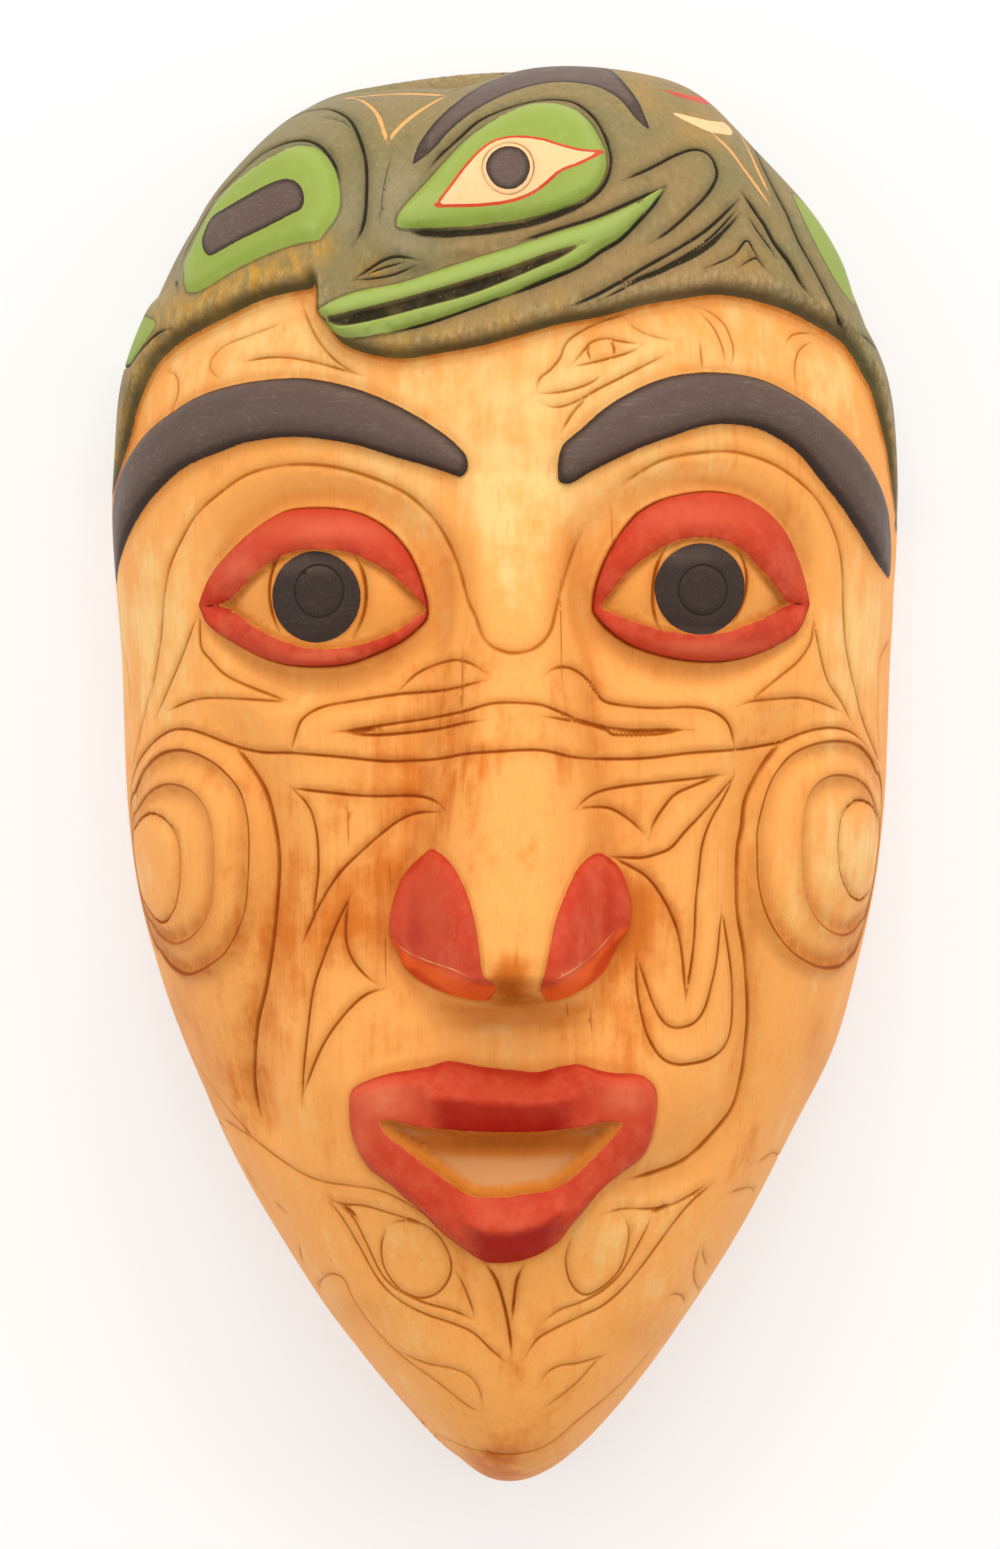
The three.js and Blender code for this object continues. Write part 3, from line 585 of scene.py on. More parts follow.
CHIN_LINES = [
    [325, 1196, 341, 1204, 364, 1206, 395, 1215, 418, 1222, 433, 1231],
    [326, 1198, 341, 1217, 358, 1245, 378, 1280, 398, 1300, 424, 1314, 453, 1324, 473, 1333, 490, 1349,
     508, 1364],
    [336, 1205, 352, 1217, 364, 1239, 381, 1274, 398, 1291, 424, 1303, 453, 1311, 476, 1321],
    [388, 1225, 401, 1221, 424, 1225, 441, 1239, 451, 1262, 448, 1280, 436, 1294, 418, 1298, 398, 1288,
     384, 1268, 381, 1245, 388, 1225],
    [456, 1271, 467, 1294, 476, 1321],
    [603, 1214, 624, 1209, 649, 1209, 669, 1206, 690, 1196, 710, 1182],
    [715, 1182, 692, 1202, 675, 1222, 658, 1245, 641, 1268, 624, 1288, 603, 1306, 580, 1317, 555, 1329,
     537, 1340, 525, 1358],
    [652, 1214, 647, 1228, 635, 1251, 621, 1274, 603, 1291, 580, 1303, 560, 1310, 542, 1323],
    [622, 1214, 629, 1228, 628, 1245, 621, 1268, 606, 1285, 586, 1295, 572, 1285, 566, 1265, 568, 1248,
     575, 1232],
]
CHIN_BOLD_LINES = [
    [484, 1262, 496, 1280, 504, 1305, 509, 1330, 512, 1356],
    [524, 1265, 517, 1280, 514, 1300, 512, 1322],
    [341, 1206, 350, 1211, 356, 1217],
    [652, 1212, 662, 1208, 672, 1204],
]
CHIN_FAINT_LINES = [
    [223, 1119, 249, 1136, 275, 1156, 301, 1173, 324, 1182, 352, 1186, 381, 1191, 410, 1205, 430, 1219,
     444, 1234],
    [318, 1290, 321, 1280, 332, 1274, 344, 1280, 352, 1297, 367, 1320, 387, 1343, 410, 1363, 438, 1383,
     467, 1406, 481, 1412],
    [398, 1351, 424, 1363, 453, 1369, 470, 1377, 480, 1392, 483, 1412],
    [609, 1354, 580, 1363, 560, 1366, 546, 1374, 539, 1386],
    [542, 1409, 560, 1397, 580, 1380, 595, 1363, 609, 1354],
    [704, 1239, 697, 1257, 694, 1277, 700, 1291],
    [705, 1240, 703, 1253, 708, 1267],
    [664, 1300, 675, 1294, 684, 1298, 684, 1308],
    [727, 1194, 747, 1188, 754, 1191, 750, 1202],
    [756, 1165, 773, 1153, 780, 1158],
    [410, 1415, 438, 1435, 467, 1448, 496, 1454, 519, 1454, 540, 1449, 558, 1438, 575, 1423, 609, 1395,
     638, 1366, 658, 1340],
    [217, 1119, 227, 1130],
    [242, 1162, 257, 1188],
    [275, 1202, 288, 1215],
    [299, 1242, 302, 1262],
    [191, 1056, 209, 1082, 229, 1110, 260, 1145],
]
WOOD_CHECKS = [
    [389, 862, 391, 890],
    [385, 930, 386, 983],
    [347, 800, 349, 850],
    [560, 560, 562, 690],
    [611, 500, 613, 560],
    [462, 640, 463, 720],
    [590, 1005, 592, 1035],
    [566, 1000, 568, 1018],
]
FROG_LINES = [
    [428, 170, 440, 155, 460, 137, 480, 120, 510, 107, 540, 100, 565, 100, 580, 105, 595, 118, 605, 135,
     611, 155, 610, 170, 605, 183, 595, 195, 580, 205, 560, 213, 530, 222, 500, 227, 470, 231, 450, 235,
     425, 233, 410, 230],
    [520, 241, 560, 228, 595, 217, 630, 202, 665, 186],
    [665, 187, 655, 203, 640, 220, 620, 240, 600, 252, 580, 266, 545, 281, 510, 295],
    [622, 180, 650, 168, 675, 155, 695, 149, 710, 155, 717, 170, 715, 182, 705, 197, 690, 212, 670, 230,
     650, 243],
    [570, 306, 600, 293, 640, 270, 680, 247, 710, 227, 740, 198],
    [620, 285, 660, 270, 700, 250, 725, 230, 740, 213],
    [278, 128, 300, 115, 320, 110, 335, 111, 350, 120, 360, 140, 366, 165, 366, 200, 363, 225, 354, 244],
    [215, 200, 255, 160, 280, 145, 303, 140, 320, 146, 333, 162, 340, 180],
    [353, 280, 370, 268, 385, 259, 400, 256, 420, 260],
    [120, 395, 135, 360, 155, 335, 170, 328],
    [178, 292, 181, 268, 196, 235, 215, 202],
    [750, 142, 760, 163, 770, 182, 780, 201, 788, 216, 798, 240, 808, 258, 818, 276, 829, 298, 838, 316,
     845, 330],
]
FROG_FINE_LINES = [
    [747, 213, 757, 230, 768, 245, 775, 256],
    [705, 268, 720, 262, 735, 254, 747, 240, 755, 252, 765, 262],
    [738, 268, 750, 260, 757, 258, 762, 264, 768, 271],
    [857, 332, 866, 340, 876, 352],
    [510, 294, 470, 309, 430, 323, 395, 332],
    [365, 275, 385, 267, 405, 262],
    [354, 280, 375, 278, 395, 274, 418, 264],
    [600, 300, 640, 280, 680, 258, 712, 236, 738, 208],
    [640, 282, 670, 268, 700, 254, 725, 234],
]
FROG_BOLD_LINES = [
    [742, 192, 757, 213, 765, 225, 775, 243, 790, 262, 800, 280, 812, 296],
    [762, 222, 775, 243, 790, 264, 802, 284, 810, 296],
]
FROG_BAND_LINES = [
    [402, 230, 430, 233, 470, 232, 500, 229, 530, 223, 560, 213, 590, 201],
]
BARE_CROWN_LINES = [
    [340, 98, 380, 94, 410, 93, 447, 95],
]
BARE_LINES = [
    [340, 98, 358, 99, 372, 108, 380, 120, 388, 145],
    [388, 145, 395, 132, 410, 118, 430, 104, 447, 95],
    [712, 133, 730, 150, 745, 170, 758, 188, 770, 205],
    [738, 133, 748, 150, 760, 175, 770, 195],
]
BARE_FAINT_LINES = [
    [447, 94, 463, 86, 480, 77],
    [393, 150, 385, 180, 382, 200, 380, 225],
    [318, 117, 341, 121, 353, 131],
]

# Ridge of the nose: sheet height, rise, half plateau and half base
NOSE_MIDDLE = 513
NOSE_STATIONS = [
    (470, 0, 44, 62), (520, 2.5, 42, 64), (560, 4.5, 40, 68), (640, 9, 38, 78), (700, 12.5, 38, 86),
    (770, 16.5, 38, 96), (850, 21, 38, 106), (920, 24.5, 36, 112), (955, 25, 32, 112),
    (980, 23.4, 30, 110), (996, 14, 30, 108), (1010, 4, 30, 104), (1024, 0, 30, 100),
]
# The rings of each cheek from the outermost in, by the side seen from the front, and how far each of them
# bulges out of sight
RINGS = [
    [[135, 792, 146, 770, 162, 755, 181, 750, 200, 755, 221, 771, 237, 791, 245, 815, 248, 845, 247, 880,
      243, 915, 229, 948, 212, 964, 190, 974, 172, 967, 158, 950],
     [136, 812, 148, 796, 160, 787, 174, 784, 191, 789, 205, 803, 213, 822, 216, 848, 216, 878, 213, 905,
      204, 925, 190, 939, 176, 943, 161, 936, 150, 922],
     [134, 828, 142, 819, 153, 813, 167, 818, 178, 831, 183, 848, 184, 870, 182, 890, 177, 909, 165, 922,
      153, 916, 143, 902]],
    [[876, 772, 869, 758, 855, 745, 836, 741, 815, 744, 796, 755, 778, 776, 767, 802, 761, 830, 760, 856,
      761, 883, 766, 909, 776, 932, 789, 950, 804, 961, 820, 967, 838, 965, 850, 956],
     [877, 812, 868, 791, 856, 780, 840, 775, 825, 777, 812, 787, 803, 806, 800, 832, 800, 860, 801, 884,
      808, 908, 820, 925, 836, 934, 850, 932, 862, 921],
     [877, 816, 870, 805, 858, 800, 847, 804, 838, 817, 835, 837, 835, 858, 838, 877, 847, 894, 858, 900,
      868, 894]],
]
RING_BULGES = (15, 11, 7)

# Between these heights over the rim the relief, the pressed places and the knife lines fade in
RELIEF_FADE = (15, 52)
PRESS_FADE = (1, 12)
CUT_FADE = (1, 7)

# Places where the carving is pressed in from its shell, above 0, or stands out: x, y, radius and depth
PRESSES = [
    (-14, 148, 17, 4.5), (-9, 150, 8, 1.3), (-32, 143, 12, 1.6), (11, 150, 12, 0.3), (38, 143, 10, -1.0),
    (58, 128, 16, 1.2), (-60, 125, 14, 0.7), (-68, 113, 8, 1.2), (-71, 104.5, 4.5, 4.0), (77, 98, 8, 1.6),
    (-80, 82, 13, -1.3), (-82, 60, 9, -0.3), (80, 80, 13, -0.9), (84, 47, 9, 1.2), (70, -60, 14, -1.1),
    (-14, -146, 15, 2.8), (8, -150, 13, 1.3), (-28, -128, 15, 1.5), (-45, -102, 20, 0.9),
    (-70, -56, 18, 1.0),
]

# How the wood's stain lies, with a painted sheen in the pale bands down both sides and painted shade at the
# nose's tip and under the chin: sheet place, radius and depth of tone, above 0 for deeper
TONES_SHADE_AND_SHEEN = [
    (500, 420, 150, -0.55), (515, 520, 60, -0.25), (516, 850, 60, 0.2), (520, 620, 45, -0.05),
    (150, 620, 70, -0.5), (858, 640, 60, -0.4), (858, 850, 45, -0.45), (155, 865, 45, -0.1),
    (250, 340, 80, -0.5), (820, 370, 90, -0.15), (700, 330, 70, -0.3), (255, 620, 60, 0.2),
    (300, 930, 50, 0.4), (400, 780, 90, 0.3), (360, 930, 50, 0.45), (640, 940, 70, 0.55),
    (430, 720, 80, 0.25), (600, 720, 80, 0.3), (230, 1010, 60, 0.4), (770, 1000, 60, 0.2),
    (700, 1100, 60, 0.1), (290, 1060, 40, -0.2), (330, 1110, 50, -0.1), (250, 1080, 40, 0.35),
    (470, 1040, 60, 0.1), (500, 1400, 70, 0.15), (505, 1464, 32, 0.6), (350, 1260, 60, -0.1),
    (640, 1250, 80, -0.3), (700, 1200, 60, -0.1), (480, 1300, 60, 0.15), (200, 760, 40, 0.2),
    (510, 978, 22, 1.2), (506, 1046, 46, -0.45), (378, 1046, 42, 0.5), (628, 1046, 40, 0.35),
    (470, 760, 30, 0.15), (395, 880, 30, 0.3), (640, 900, 26, 0.4), (300, 860, 24, 0.2),
    (120, 740, 30, -0.3), (445, 560, 24, 0.3), (560, 560, 24, 0.25), (330, 490, 26, 0.15),
]

# Where stain lies, with painted shade under the nose's tip, along the top of the mouth's opening under the
# upper lip, beside the right upper lid and under the chin: sheet place, reach across, reach up and strength
STAINS_AND_SHADE = [
    (520, 1001, 42, 8, 0.9), (508, 985, 20, 16, 0.75), (506, 1143, 88, 12, 0.78), (385, 920, 14, 46, 0.35),
    (640, 915, 12, 46, 0.35), (272, 930, 12, 90, 0.35), (749, 950, 9, 110, 0.5), (215, 1080, 20, 50, 0.3),
    (180, 1010, 14, 40, 0.25), (815, 1040, 14, 50, 0.25), (300, 880, 14, 60, 0.2), (498, 1300, 12, 40, 0.3),
    (440, 810, 16, 40, 0.25), (330, 1112, 20, 30, 0.2), (676, 1110, 20, 40, 0.2), (490, 1455, 40, 10, 0.4),
    (360, 1310, 40, 14, 0.2), (640, 1330, 40, 20, 0.2), (437, 560, 14, 50, 0.15), (575, 560, 12, 40, 0.15),
    (128, 420, 10, 50, 0.6), (378, 280, 20, 8, 0.5), (420, 269, 24, 8, 0.6), (469, 255, 24, 7, 0.6),
    (511, 244, 24, 6, 0.5), (556, 232, 24, 5, 0.45), (778, 510, 22, 18, 0.3), (804, 556, 9, 34, 0.35),
]

# Where the red paint is paler, as a painted sheen with some wear on the lids, lips and wings, and where the
# irises get a painted highlight: sheet place, reach across, reach up and strength
SHEEN_AND_RUBS = [
    (325, 530, 76, 16, 0.45), (700, 514, 76, 17, 0.35), (330, 656, 60, 7, 0.6), (705, 648, 60, 8, 0.6),
    (384, 1100, 30, 20, 0.9), (626, 1098, 26, 18, 0.7), (510, 1090, 44, 9, 0.25), (508, 1221, 44, 13, 0.15),
    (420, 910, 26, 50, 0.3), (362, 1140, 12, 20, 0.5), (440, 980, 34, 9, 0.6), (588, 976, 34, 9, 0.6),
    (305, 566, 30, 9, 0.8), (690, 556, 30, 9, 0.8), (240, 568, 26, 16, 0.5),
]

# Golden wash over the frog's olive: sheet place, radius and amount
GOLDS = [
    (175, 315, 26, 0.7), (215, 300, 24, 0.9), (255, 278, 22, 1.0), (295, 262, 20, 0.9),
    (322, 245, 14, 0.6), (150, 345, 18, 0.6), (135, 375, 14, 0.8), (122, 415, 14, 0.8),
    (116, 455, 12, 0.7), (395, 345, 26, 0.6), (450, 338, 22, 0.6), (505, 322, 20, 0.5),
    (560, 306, 18, 0.4), (372, 272, 14, 0.7), (640, 92, 22, 0.35), (700, 130, 26, 0.3),
    (745, 262, 18, 0.35), (880, 440, 12, 0.7), (888, 480, 12, 0.6), (868, 400, 10, 0.4),
]

# Where the olive is greyer and paler, above 0, or browner, below 0: sheet place, radius and amount
GREYS = [
    (400, 190, 40, 0.9), (340, 215, 30, 0.7), (300, 120, 60, 0.7), (200, 230, 60, 0.5),
    (410, 240, 30, 0.8), (165, 290, 30, 0.9), (640, 230, 30, 0.5), (860, 340, 30, 0.5),
    (780, 150, 40, 0.3), (650, 260, 60, -0.5), (700, 290, 60, -0.6), (470, 320, 60, -0.3),
    (560, 240, 60, -0.5), (480, 250, 40, -0.4), (450, 180, 20, -0.4), (830, 330, 40, -0.4),
]

# What the mesh keeps for the finish: signed distances in from painted outlines
PAINTED = ("olive", "green", "black", "red", "cream", "eyeball", "mouth")


class Cut:
    """A knife line on the face: a V that narrows and runs out at both ends, or goes all the way round."""

    # Length over which an end narrows, to the share END of the line's width
    TAPER = 5.0
    END = 0.3

    def __init__(self, points, kind, closed=False):
        self.half_width, self.depth, self.darkness, self.creep = kind
        self.closed = closed
        self.points = points[np.concatenate([[True], steps_along(points) > 1e-6])]
        self.length = steps_along(self.points).sum()

    def read(self, u, v):
        """Share of the V's depth, and of the stain that has crept out beside it, at each place."""
        near = near_box(self.points, u, v, 3 * self.creep + 2)
        share, halo = np.zeros(len(u)), np.zeros(len(u))
        gap, place = nearest(self.points, self.closed, u[near], v[near])
        taper = min(self.TAPER, self.length / 3)
        from_end = np.minimum(place, self.length - place)
        size = 1.0 if self.closed else self.END + (1 - self.END) * ramp(from_end, 0, taper)
        share[near] = np.clip(1 - gap / (self.half_width * size), 0, 1) * size
        halo[near] = np.exp(-(gap / (self.half_width + self.creep)) ** 2) * size
        return share, halo


def fallen(ridge, u, v):
    """How far a place lies toward the chin from a wing's ridge."""
    order = np.argsort(ridge[:, 0])
    return np.interp(u, *ridge[order].T) - v


def lip_ridge(fall):
    """Where the ridge lies from the lips' edge: nearer the mouth on the lower lip."""
    return np.where(fall < 0.5, 0.48, 0.56)


class Carving:
    """The carved face: its forms, knife lines and painted outlines, each a function of a place (u, v)."""

    # Half width, half height and depth of the hollow
    HOLLOW = (73.0, 139.0, 66.0)

    # How often a run is laid again on the relief, and how far its lift follows each time
    LAY_ROUNDS = 5
    LAY_PULL = 0.6

    # How far pupils and cheek rings are lifted off the shell, and the frog's iris off its layer
    PUPIL_LIFT = 2.0
    RING_LIFT = 0.5
    FROG_IRIS_LIFT = 3

    # A form's half reaches across and up, its rise or depth, and the width that its edge is rounded over
    SOCKET_REACH = (28, 21)
    SOCKET_DEPTH = 4.5
    BALL_RISE = 6
    BROW_EDGE = 4
    LID_RISE = 1.6
    OPENING_DEPTH = 1.9
    WING_RISE = 5.2
    WING_EDGE = 8
    MUZZLE_REACH = (42, 33)
    MUZZLE_RISE = 4
    CHEEK_RISE = 1.6
    SCOOP_DEPTH = 1.8
    VALLEY_DEPTH = 2.6
    VALLEY_REACH = 7
    VALLEY_SPAN = 22
    FROG_DOMES = (3.5, 14), (2, 9), (2.5, 5)
    FROG_GROOVE_DEPTH = 1.9

    def __init__(self, sizes):
        half_width, half_height = sizes.half_width / MM, sizes.half_height / MM
        depth = sizes.face_depth / MM
        self.face = Shell(RIM_STATIONS, PROFILE_STATIONS, half_width, half_height, depth)
        self.hollow = Shell(HOLLOW_RIM_STATIONS, HOLLOW_PROFILE_STATIONS, *self.HOLLOW)
        self.sheet = Sheet(self.face, half_height)
        self.face_depth = depth
        self.brow_rise = sizes.brow_rise / MM
        self.frog_rise = sizes.frog_rise / MM
        self.lip_rise = sizes.lip_rise / MM
        self.lay_out_forms()
        self.lay_out_cuts()
        self.lay_out_paint()

    def lay_out_forms(self):
        """Each outline is laid on the relief of the forms before it, so that it is seen where it is drawn."""
        self.eye_centres = self.sheet.place(EYE_CENTRES)
        self.muzzle, self.upper, self.lower = (self.sheet.place([place])[0] for place in MUZZLE_PLACES)
        self.rings = [
            [ring(self.sheet.place(smooth_run(run), self.RING_LIFT), bulge)
             for run, bulge in zip(side, RING_BULGES)] for side in RINGS]
        self.valleys = [self.sheet.place(smooth_run(run)) for run in VALLEY_LINES]
        rises = np.array([rise for _, rise, _, _ in NOSE_STATIONS])
        ridge = self.sheet.place([(NOSE_MIDDLE, q) for q, _, _, _ in NOSE_STATIONS], rises)
        scale = (EYE_HEIGHT - self.face_depth - rises) / SHEET_REACH
        widths = np.array([row[2:] for row in NOSE_STATIONS]) * scale[:, None]
        self.nose = np.column_stack([ridge[:, 1], ridge[:, 0], rises, widths])[::-1].T
        self.forms = [self.socket_relief, self.nose_relief, self.muzzle_relief, self.cheek_relief]
        self.brows = [ring(np.vstack([self.laid(run) for run in runs]), reach) for runs, reach in BROWS]
        self.lids = [self.outlined(runs) for runs in LIDS]
        self.openings = [self.outlined(runs, self.LID_RISE) for runs in OPENINGS]
        self.wings = [self.outlined(runs) for runs in WINGS]
        self.wing_ridges = [self.laid(run, self.WING_RISE) for run in WING_RIDGES]
        self.lips = self.outlined(LIPS)
        self.mouth = self.outlined(MOUTH, self.lip_rise / 2)
        lower_edge = np.vstack([self.laid(run) for run in FROG])
        far = 300
        beyond = [(far, lower_edge[-1, 1]), (far, far), (-far, far), (-far, lower_edge[0, 1])]
        self.frog = Patch(np.vstack([lower_edge, beyond]))
        self.forms += [self.brow_relief, self.lid_relief, self.wing_relief, self.lip_relief, self.frog_layer]
        self.frog_eye = self.outlined(FROG_EYE)
        self.frog_flank = self.outlined(FROG_FLANK)
        self.frog_lips = self.outlined(FROG_LIPS)
        self.forms.append(self.frog_domes)
        self.frog_mouth = self.outlined(FROG_MOUTH)
        self.forms.append(self.frog_groove)

    def lay_out_cuts(self):
        """Knife lines through the finish, and the bare lines that scrape it off."""
        groups = [
            (FINE_CUT, CHEEK_LINES + BRIDGE_LINES),
            (SHALLOW_CUT, FOREHEAD_LINES + EYE_LINES),
            (CHIN_CUT, CHIN_LINES),
            (FAINT_CUT, FOREHEAD_FAINT_LINES + SIDE_LINES + CHIN_FAINT_LINES),
            (SOCKET_CUT, SOCKET_LINES),
            (VALLEY_CUT, VALLEY_LINES),
            (EYEBALL_CUT, EYEBALL_LINES),
            (BOLD_CUT, BRIDGE_BOLD_LINES + CHIN_BOLD_LINES),
            (LID_CUT, LID_CORNERS),
            (HAIR_CUT, WOOD_CHECKS + BARE_FAINT_LINES),
            (FROG_CUT, FROG_LINES),
            (FROG_FINE_CUT, FROG_FINE_LINES),
            (FROG_BOLD_CUT, FROG_BOLD_LINES),
            (FROG_BAND_CUT, FROG_BAND_LINES),
        ]
        self.cuts = [Cut(self.laid(run), kind) for kind, runs in groups for run in runs]
        self.cuts += [Cut(outline.points, kind, True) for side in self.rings
                      for outline, kind in zip(side, RING_CUTS)]
        self.cuts += [Cut(outline.points, LID_CUT, True) for outline in self.lids]
        self.cuts += [Cut(Oval(self.sheet, *oval, self.PUPIL_LIFT).points, PUPIL_CUT, True)
                      for oval in PUPIL_RINGS]
        self.cuts += [Cut(self.frog_oval(FROG_IRIS_RING).points, FROG_PUPIL_CUT, True)]
        self.bare_cuts = [Cut(self.laid(run), BARE_CUT) for run in BARE_LINES]
        self.bare_cuts += [Cut(self.laid(run), BARE_CROWN_CUT) for run in BARE_CROWN_LINES]
        self.bare_cuts += [Cut(run, WORN_CUT) for run in self.wing_ridges]

    def frog_oval(self, oval):
        """An oval on the frog's eye."""
        return Oval(self.sheet, *oval, self.frog_rise + self.FROG_IRIS_LIFT)

    def outlined(self, runs, lift=0.0):
        """A form's outline, from smooth runs that meet in corners."""
        return Patch(np.vstack([self.laid(run, lift) for run in runs]))

    def laid(self, run, lift=0.0):
        """A run's points, standing lift off the carved face: they are placed again on the relief there."""
        points = smooth_run(run, 6)
        rise = np.full(len(points), lift)
        for _ in range(self.LAY_ROUNDS):
            places = self.sheet.place(points, rise)
            rise = (1 - self.LAY_PULL) * rise + self.LAY_PULL * (self.height(*places.T) + lift)
        return self.sheet.place(points, rise)

    def lay_out_paint(self):
        """Outlines that are painted and not carved."""
        self.almond = self.outlined(FROG_ALMOND)
        self.frog_brow = self.outlined(FROG_BROW)
        self.flank_oval = self.outlined(FROG_FLANK_OVAL)
        self.feet = [ring(self.laid(run), reach) for run, reach in FROG_FEET]
        self.wedge, self.slit = (ring(self.laid(run), reach) for run, reach in (CREAM_WEDGE, RED_SLIT))
        self.irises = [Oval(self.sheet, *oval) for oval in IRISES]
        self.frog_iris = self.frog_oval(FROG_IRIS)

    def height(self, u, v):
        """The relief, fading out down the sides to the rim, less the places pressed in from the shell."""
        share = np.clip(u / np.maximum(self.face.reach(v), 1e-6), -1, 1)
        x, y, z = self.face.point(share, v).T
        relief = sum(form(u, v) for form in self.forms)
        return relief * ramp(z, *RELIEF_FADE) - bells(x, y, PRESSES) * ramp(z, *PRESS_FADE)

    def brow_relief(self, u, v):
        """Two brows with flat tops and round edges."""
        depth = np.maximum(*[brow.depth(u, v) for brow in self.brows])
        return self.brow_rise * shoulder(depth, self.BROW_EDGE)

    def socket_relief(self, u, v):
        """A round socket for each eye, with a domed ball in it."""
        height = np.zeros(len(u))
        for middle in self.eye_centres:
            gap = oval_gap(u, v, middle, self.SOCKET_REACH)
            ball = self.BALL_RISE * ramp(1 - gap ** 2, 0, 1)
            height += ball - self.SOCKET_DEPTH * (1 - ramp(gap, 0.72, 1.25))
        return height

    def lid_relief(self, u, v):
        """Raised lids round a sunk almond opening."""
        height = np.zeros(len(u))
        for lids, opening in zip(self.lids, self.openings):
            sunk = opening.depth(u, v)
            height += self.LID_RISE * rounded(lids.depth(u, v), -0.3, 0.5)
            height += (1.0 * ramp(-sunk, 0.2, 2.8) - 0.6) * (lids.depth(u, v) > 0) * (sunk < 0)
            height -= self.OPENING_DEPTH * rounded(sunk, -0.3, 0.6)
        return height

    def nose_relief(self, u, v):
        """A ridge, whole on its flat top and falling smoothly to its base."""
        along, *columns = self.nose
        middle, rise, plateau, base = (np.interp(v, along, column) for column in columns)
        rise = np.where((v < along[0]) | (v > along[-1]), 0, rise)
        return rise * (1 - ramp(np.abs(u - middle), plateau * 0.6, base))

    def under_wings(self, u, v):
        """1 on the facets of the wings below their ridges."""
        return sum(ramp(fallen(ridge, u, v), 0.2, 1.0) * (wing.depth(u, v) > -0.3)
                   for wing, ridge in zip(self.wings, self.wing_ridges))

    def wing_relief(self, u, v):
        """A round wing each side of the nose, planed off below its ridge."""
        height = np.zeros(len(u))
        for wing, ridge in zip(self.wings, self.wing_ridges):
            below = np.maximum(fallen(ridge, u, v), 0)
            dome = self.WING_RISE * shoulder(wing.depth(u, v), self.WING_EDGE)
            dome = dome * ramp(np.abs(u - self.muzzle[0]), 3, 12)
            height += np.minimum(dome, np.maximum(self.WING_RISE - 0.9 * below, 0.5))
        return height

    def muzzle_relief(self, u, v):
        """A low oval dome round the mouth."""
        return self.MUZZLE_RISE * (1 - ramp(oval_gap(u, v, self.muzzle, self.MUZZLE_REACH), 0.5, 1.25))

    def round_lips(self, u, v, lip, opening):
        """Share of the way in from the lips' edge and down the mouth, and the gap from the middle blocks."""
        share = np.clip(lip / np.maximum(lip - opening, 1e-6), 0, 1)
        fall = np.clip((self.upper[1] - v) / (self.upper[1] - self.lower[1]), 0, 1)
        middle = self.muzzle[0] - 0.8 + 2.5 * fall
        return share, fall, np.abs(u - middle) - (14 - 4 * fall)

    def under_lips(self, u, v):
        """1 on the two facets of the middle blocks that face the chin, fading out at their ends."""
        share, fall, aside = self.round_lips(u, v, self.lips.depth(u, v), self.mouth.depth(u, v))
        ridge = lip_ridge(fall)
        upper = ramp(share, ridge - 0.05, ridge + 0.08) * (0.6 + 0.4 * ramp(share, 0.5, 1))
        lower = (1 - ramp(share, ridge - 0.1, ridge + 0.02)) * 0.95
        return np.where(fall < 0.5, upper, lower) * (1 - ramp(aside, -3.5, 1.5))

    def lip_relief(self, u, v):
        """Lips round an opening that slopes down under the upper lip, shallower to its corners.

        The lips have a sharp ridge along their two middle blocks, and are single planes at the sides.
        """
        lip, opening = self.lips.depth(u, v), self.mouth.depth(u, v)
        share, fall, aside = self.round_lips(u, v, lip, opening)
        ridge, edge = lip_ridge(fall), 0.45
        roof = np.where(share < ridge, share / ridge, 1 - (1 - edge) * (share - ridge) / (1 - ridge))
        plane = 0.72 * rounded(share, 0, 0.22) - 0.12 * share
        from_middle = np.abs(u - self.muzzle[0])
        side = ramp(aside, -0.5, 1.5)
        rise = self.lip_rise * (1 - 0.02 * np.maximum(aside, 0))
        sunk = ramp(opening, 0, 1.9)
        hollow = (4 - 3 * fall) * (1 - 0.8 * ramp(from_middle, 10, 25))
        floor = rise * (edge + (0.6 - edge) * side) * (1 - sunk) - hollow * sunk
        lips = rise * (roof + (plane - roof) * side)
        return np.where(lip <= 0, 0, np.where(opening <= 0, lips, floor))

    def cheek_relief(self, u, v):
        """Nested rings on each cheek, a dome inside two bands scooped at their outer edges, and valleys."""
        height = np.zeros(len(u))
        for side in self.rings:
            depths = [outline.depth(u, v) for outline in side]
            height += self.CHEEK_RISE * ramp(depths[0], -3, 0)
            dome = self.CHEEK_RISE * shoulder(depths[2], 6) - 1.0
            scoops = []
            for outside, within in zip(depths, depths[1:]):
                share = outside / np.maximum(outside - within, 1e-6)
                scoops.append(-self.SCOOP_DEPTH * (1 - share) * ramp(outside, 0, 1))
            band = np.where(depths[1] > 0, scoops[1], scoops[0])
            height += np.where(depths[2] > 0, dome, np.where(depths[0] > 0, band, 0))
        for valley in self.valleys:
            near = near_box(valley, u, v, self.VALLEY_SPAN)
            gap, _ = nearest(valley, False, u[near], v[near])
            height[near] -= self.VALLEY_DEPTH * np.exp(-(gap / self.VALLEY_REACH) ** 2)
        return height

    def on_frog(self, u, v):
        """1 on the frog and 0 off it, with a rounded step between."""
        return rounded(self.frog.depth(u, v), -0.5, 2.0)

    def frog_layer(self, u, v):
        """A layer over the forehead."""
        return self.frog_rise * self.on_frog(u, v)

    def frog_domes(self, u, v):
        """The frog's domed eye, flank and lips, on its layer."""
        outlines = (self.frog_eye, self.frog_flank, self.frog_lips)
        height = sum(rise * shoulder(outline.depth(u, v), edge)
                     for outline, (rise, edge) in zip(outlines, self.FROG_DOMES))
        return height * self.on_frog(u, v)

    def frog_groove(self, u, v):
        """A groove along the frog's mouth."""
        return -self.FROG_GROOVE_DEPTH * ramp(self.frog_mouth.depth(u, v), -0.6, 1.0)

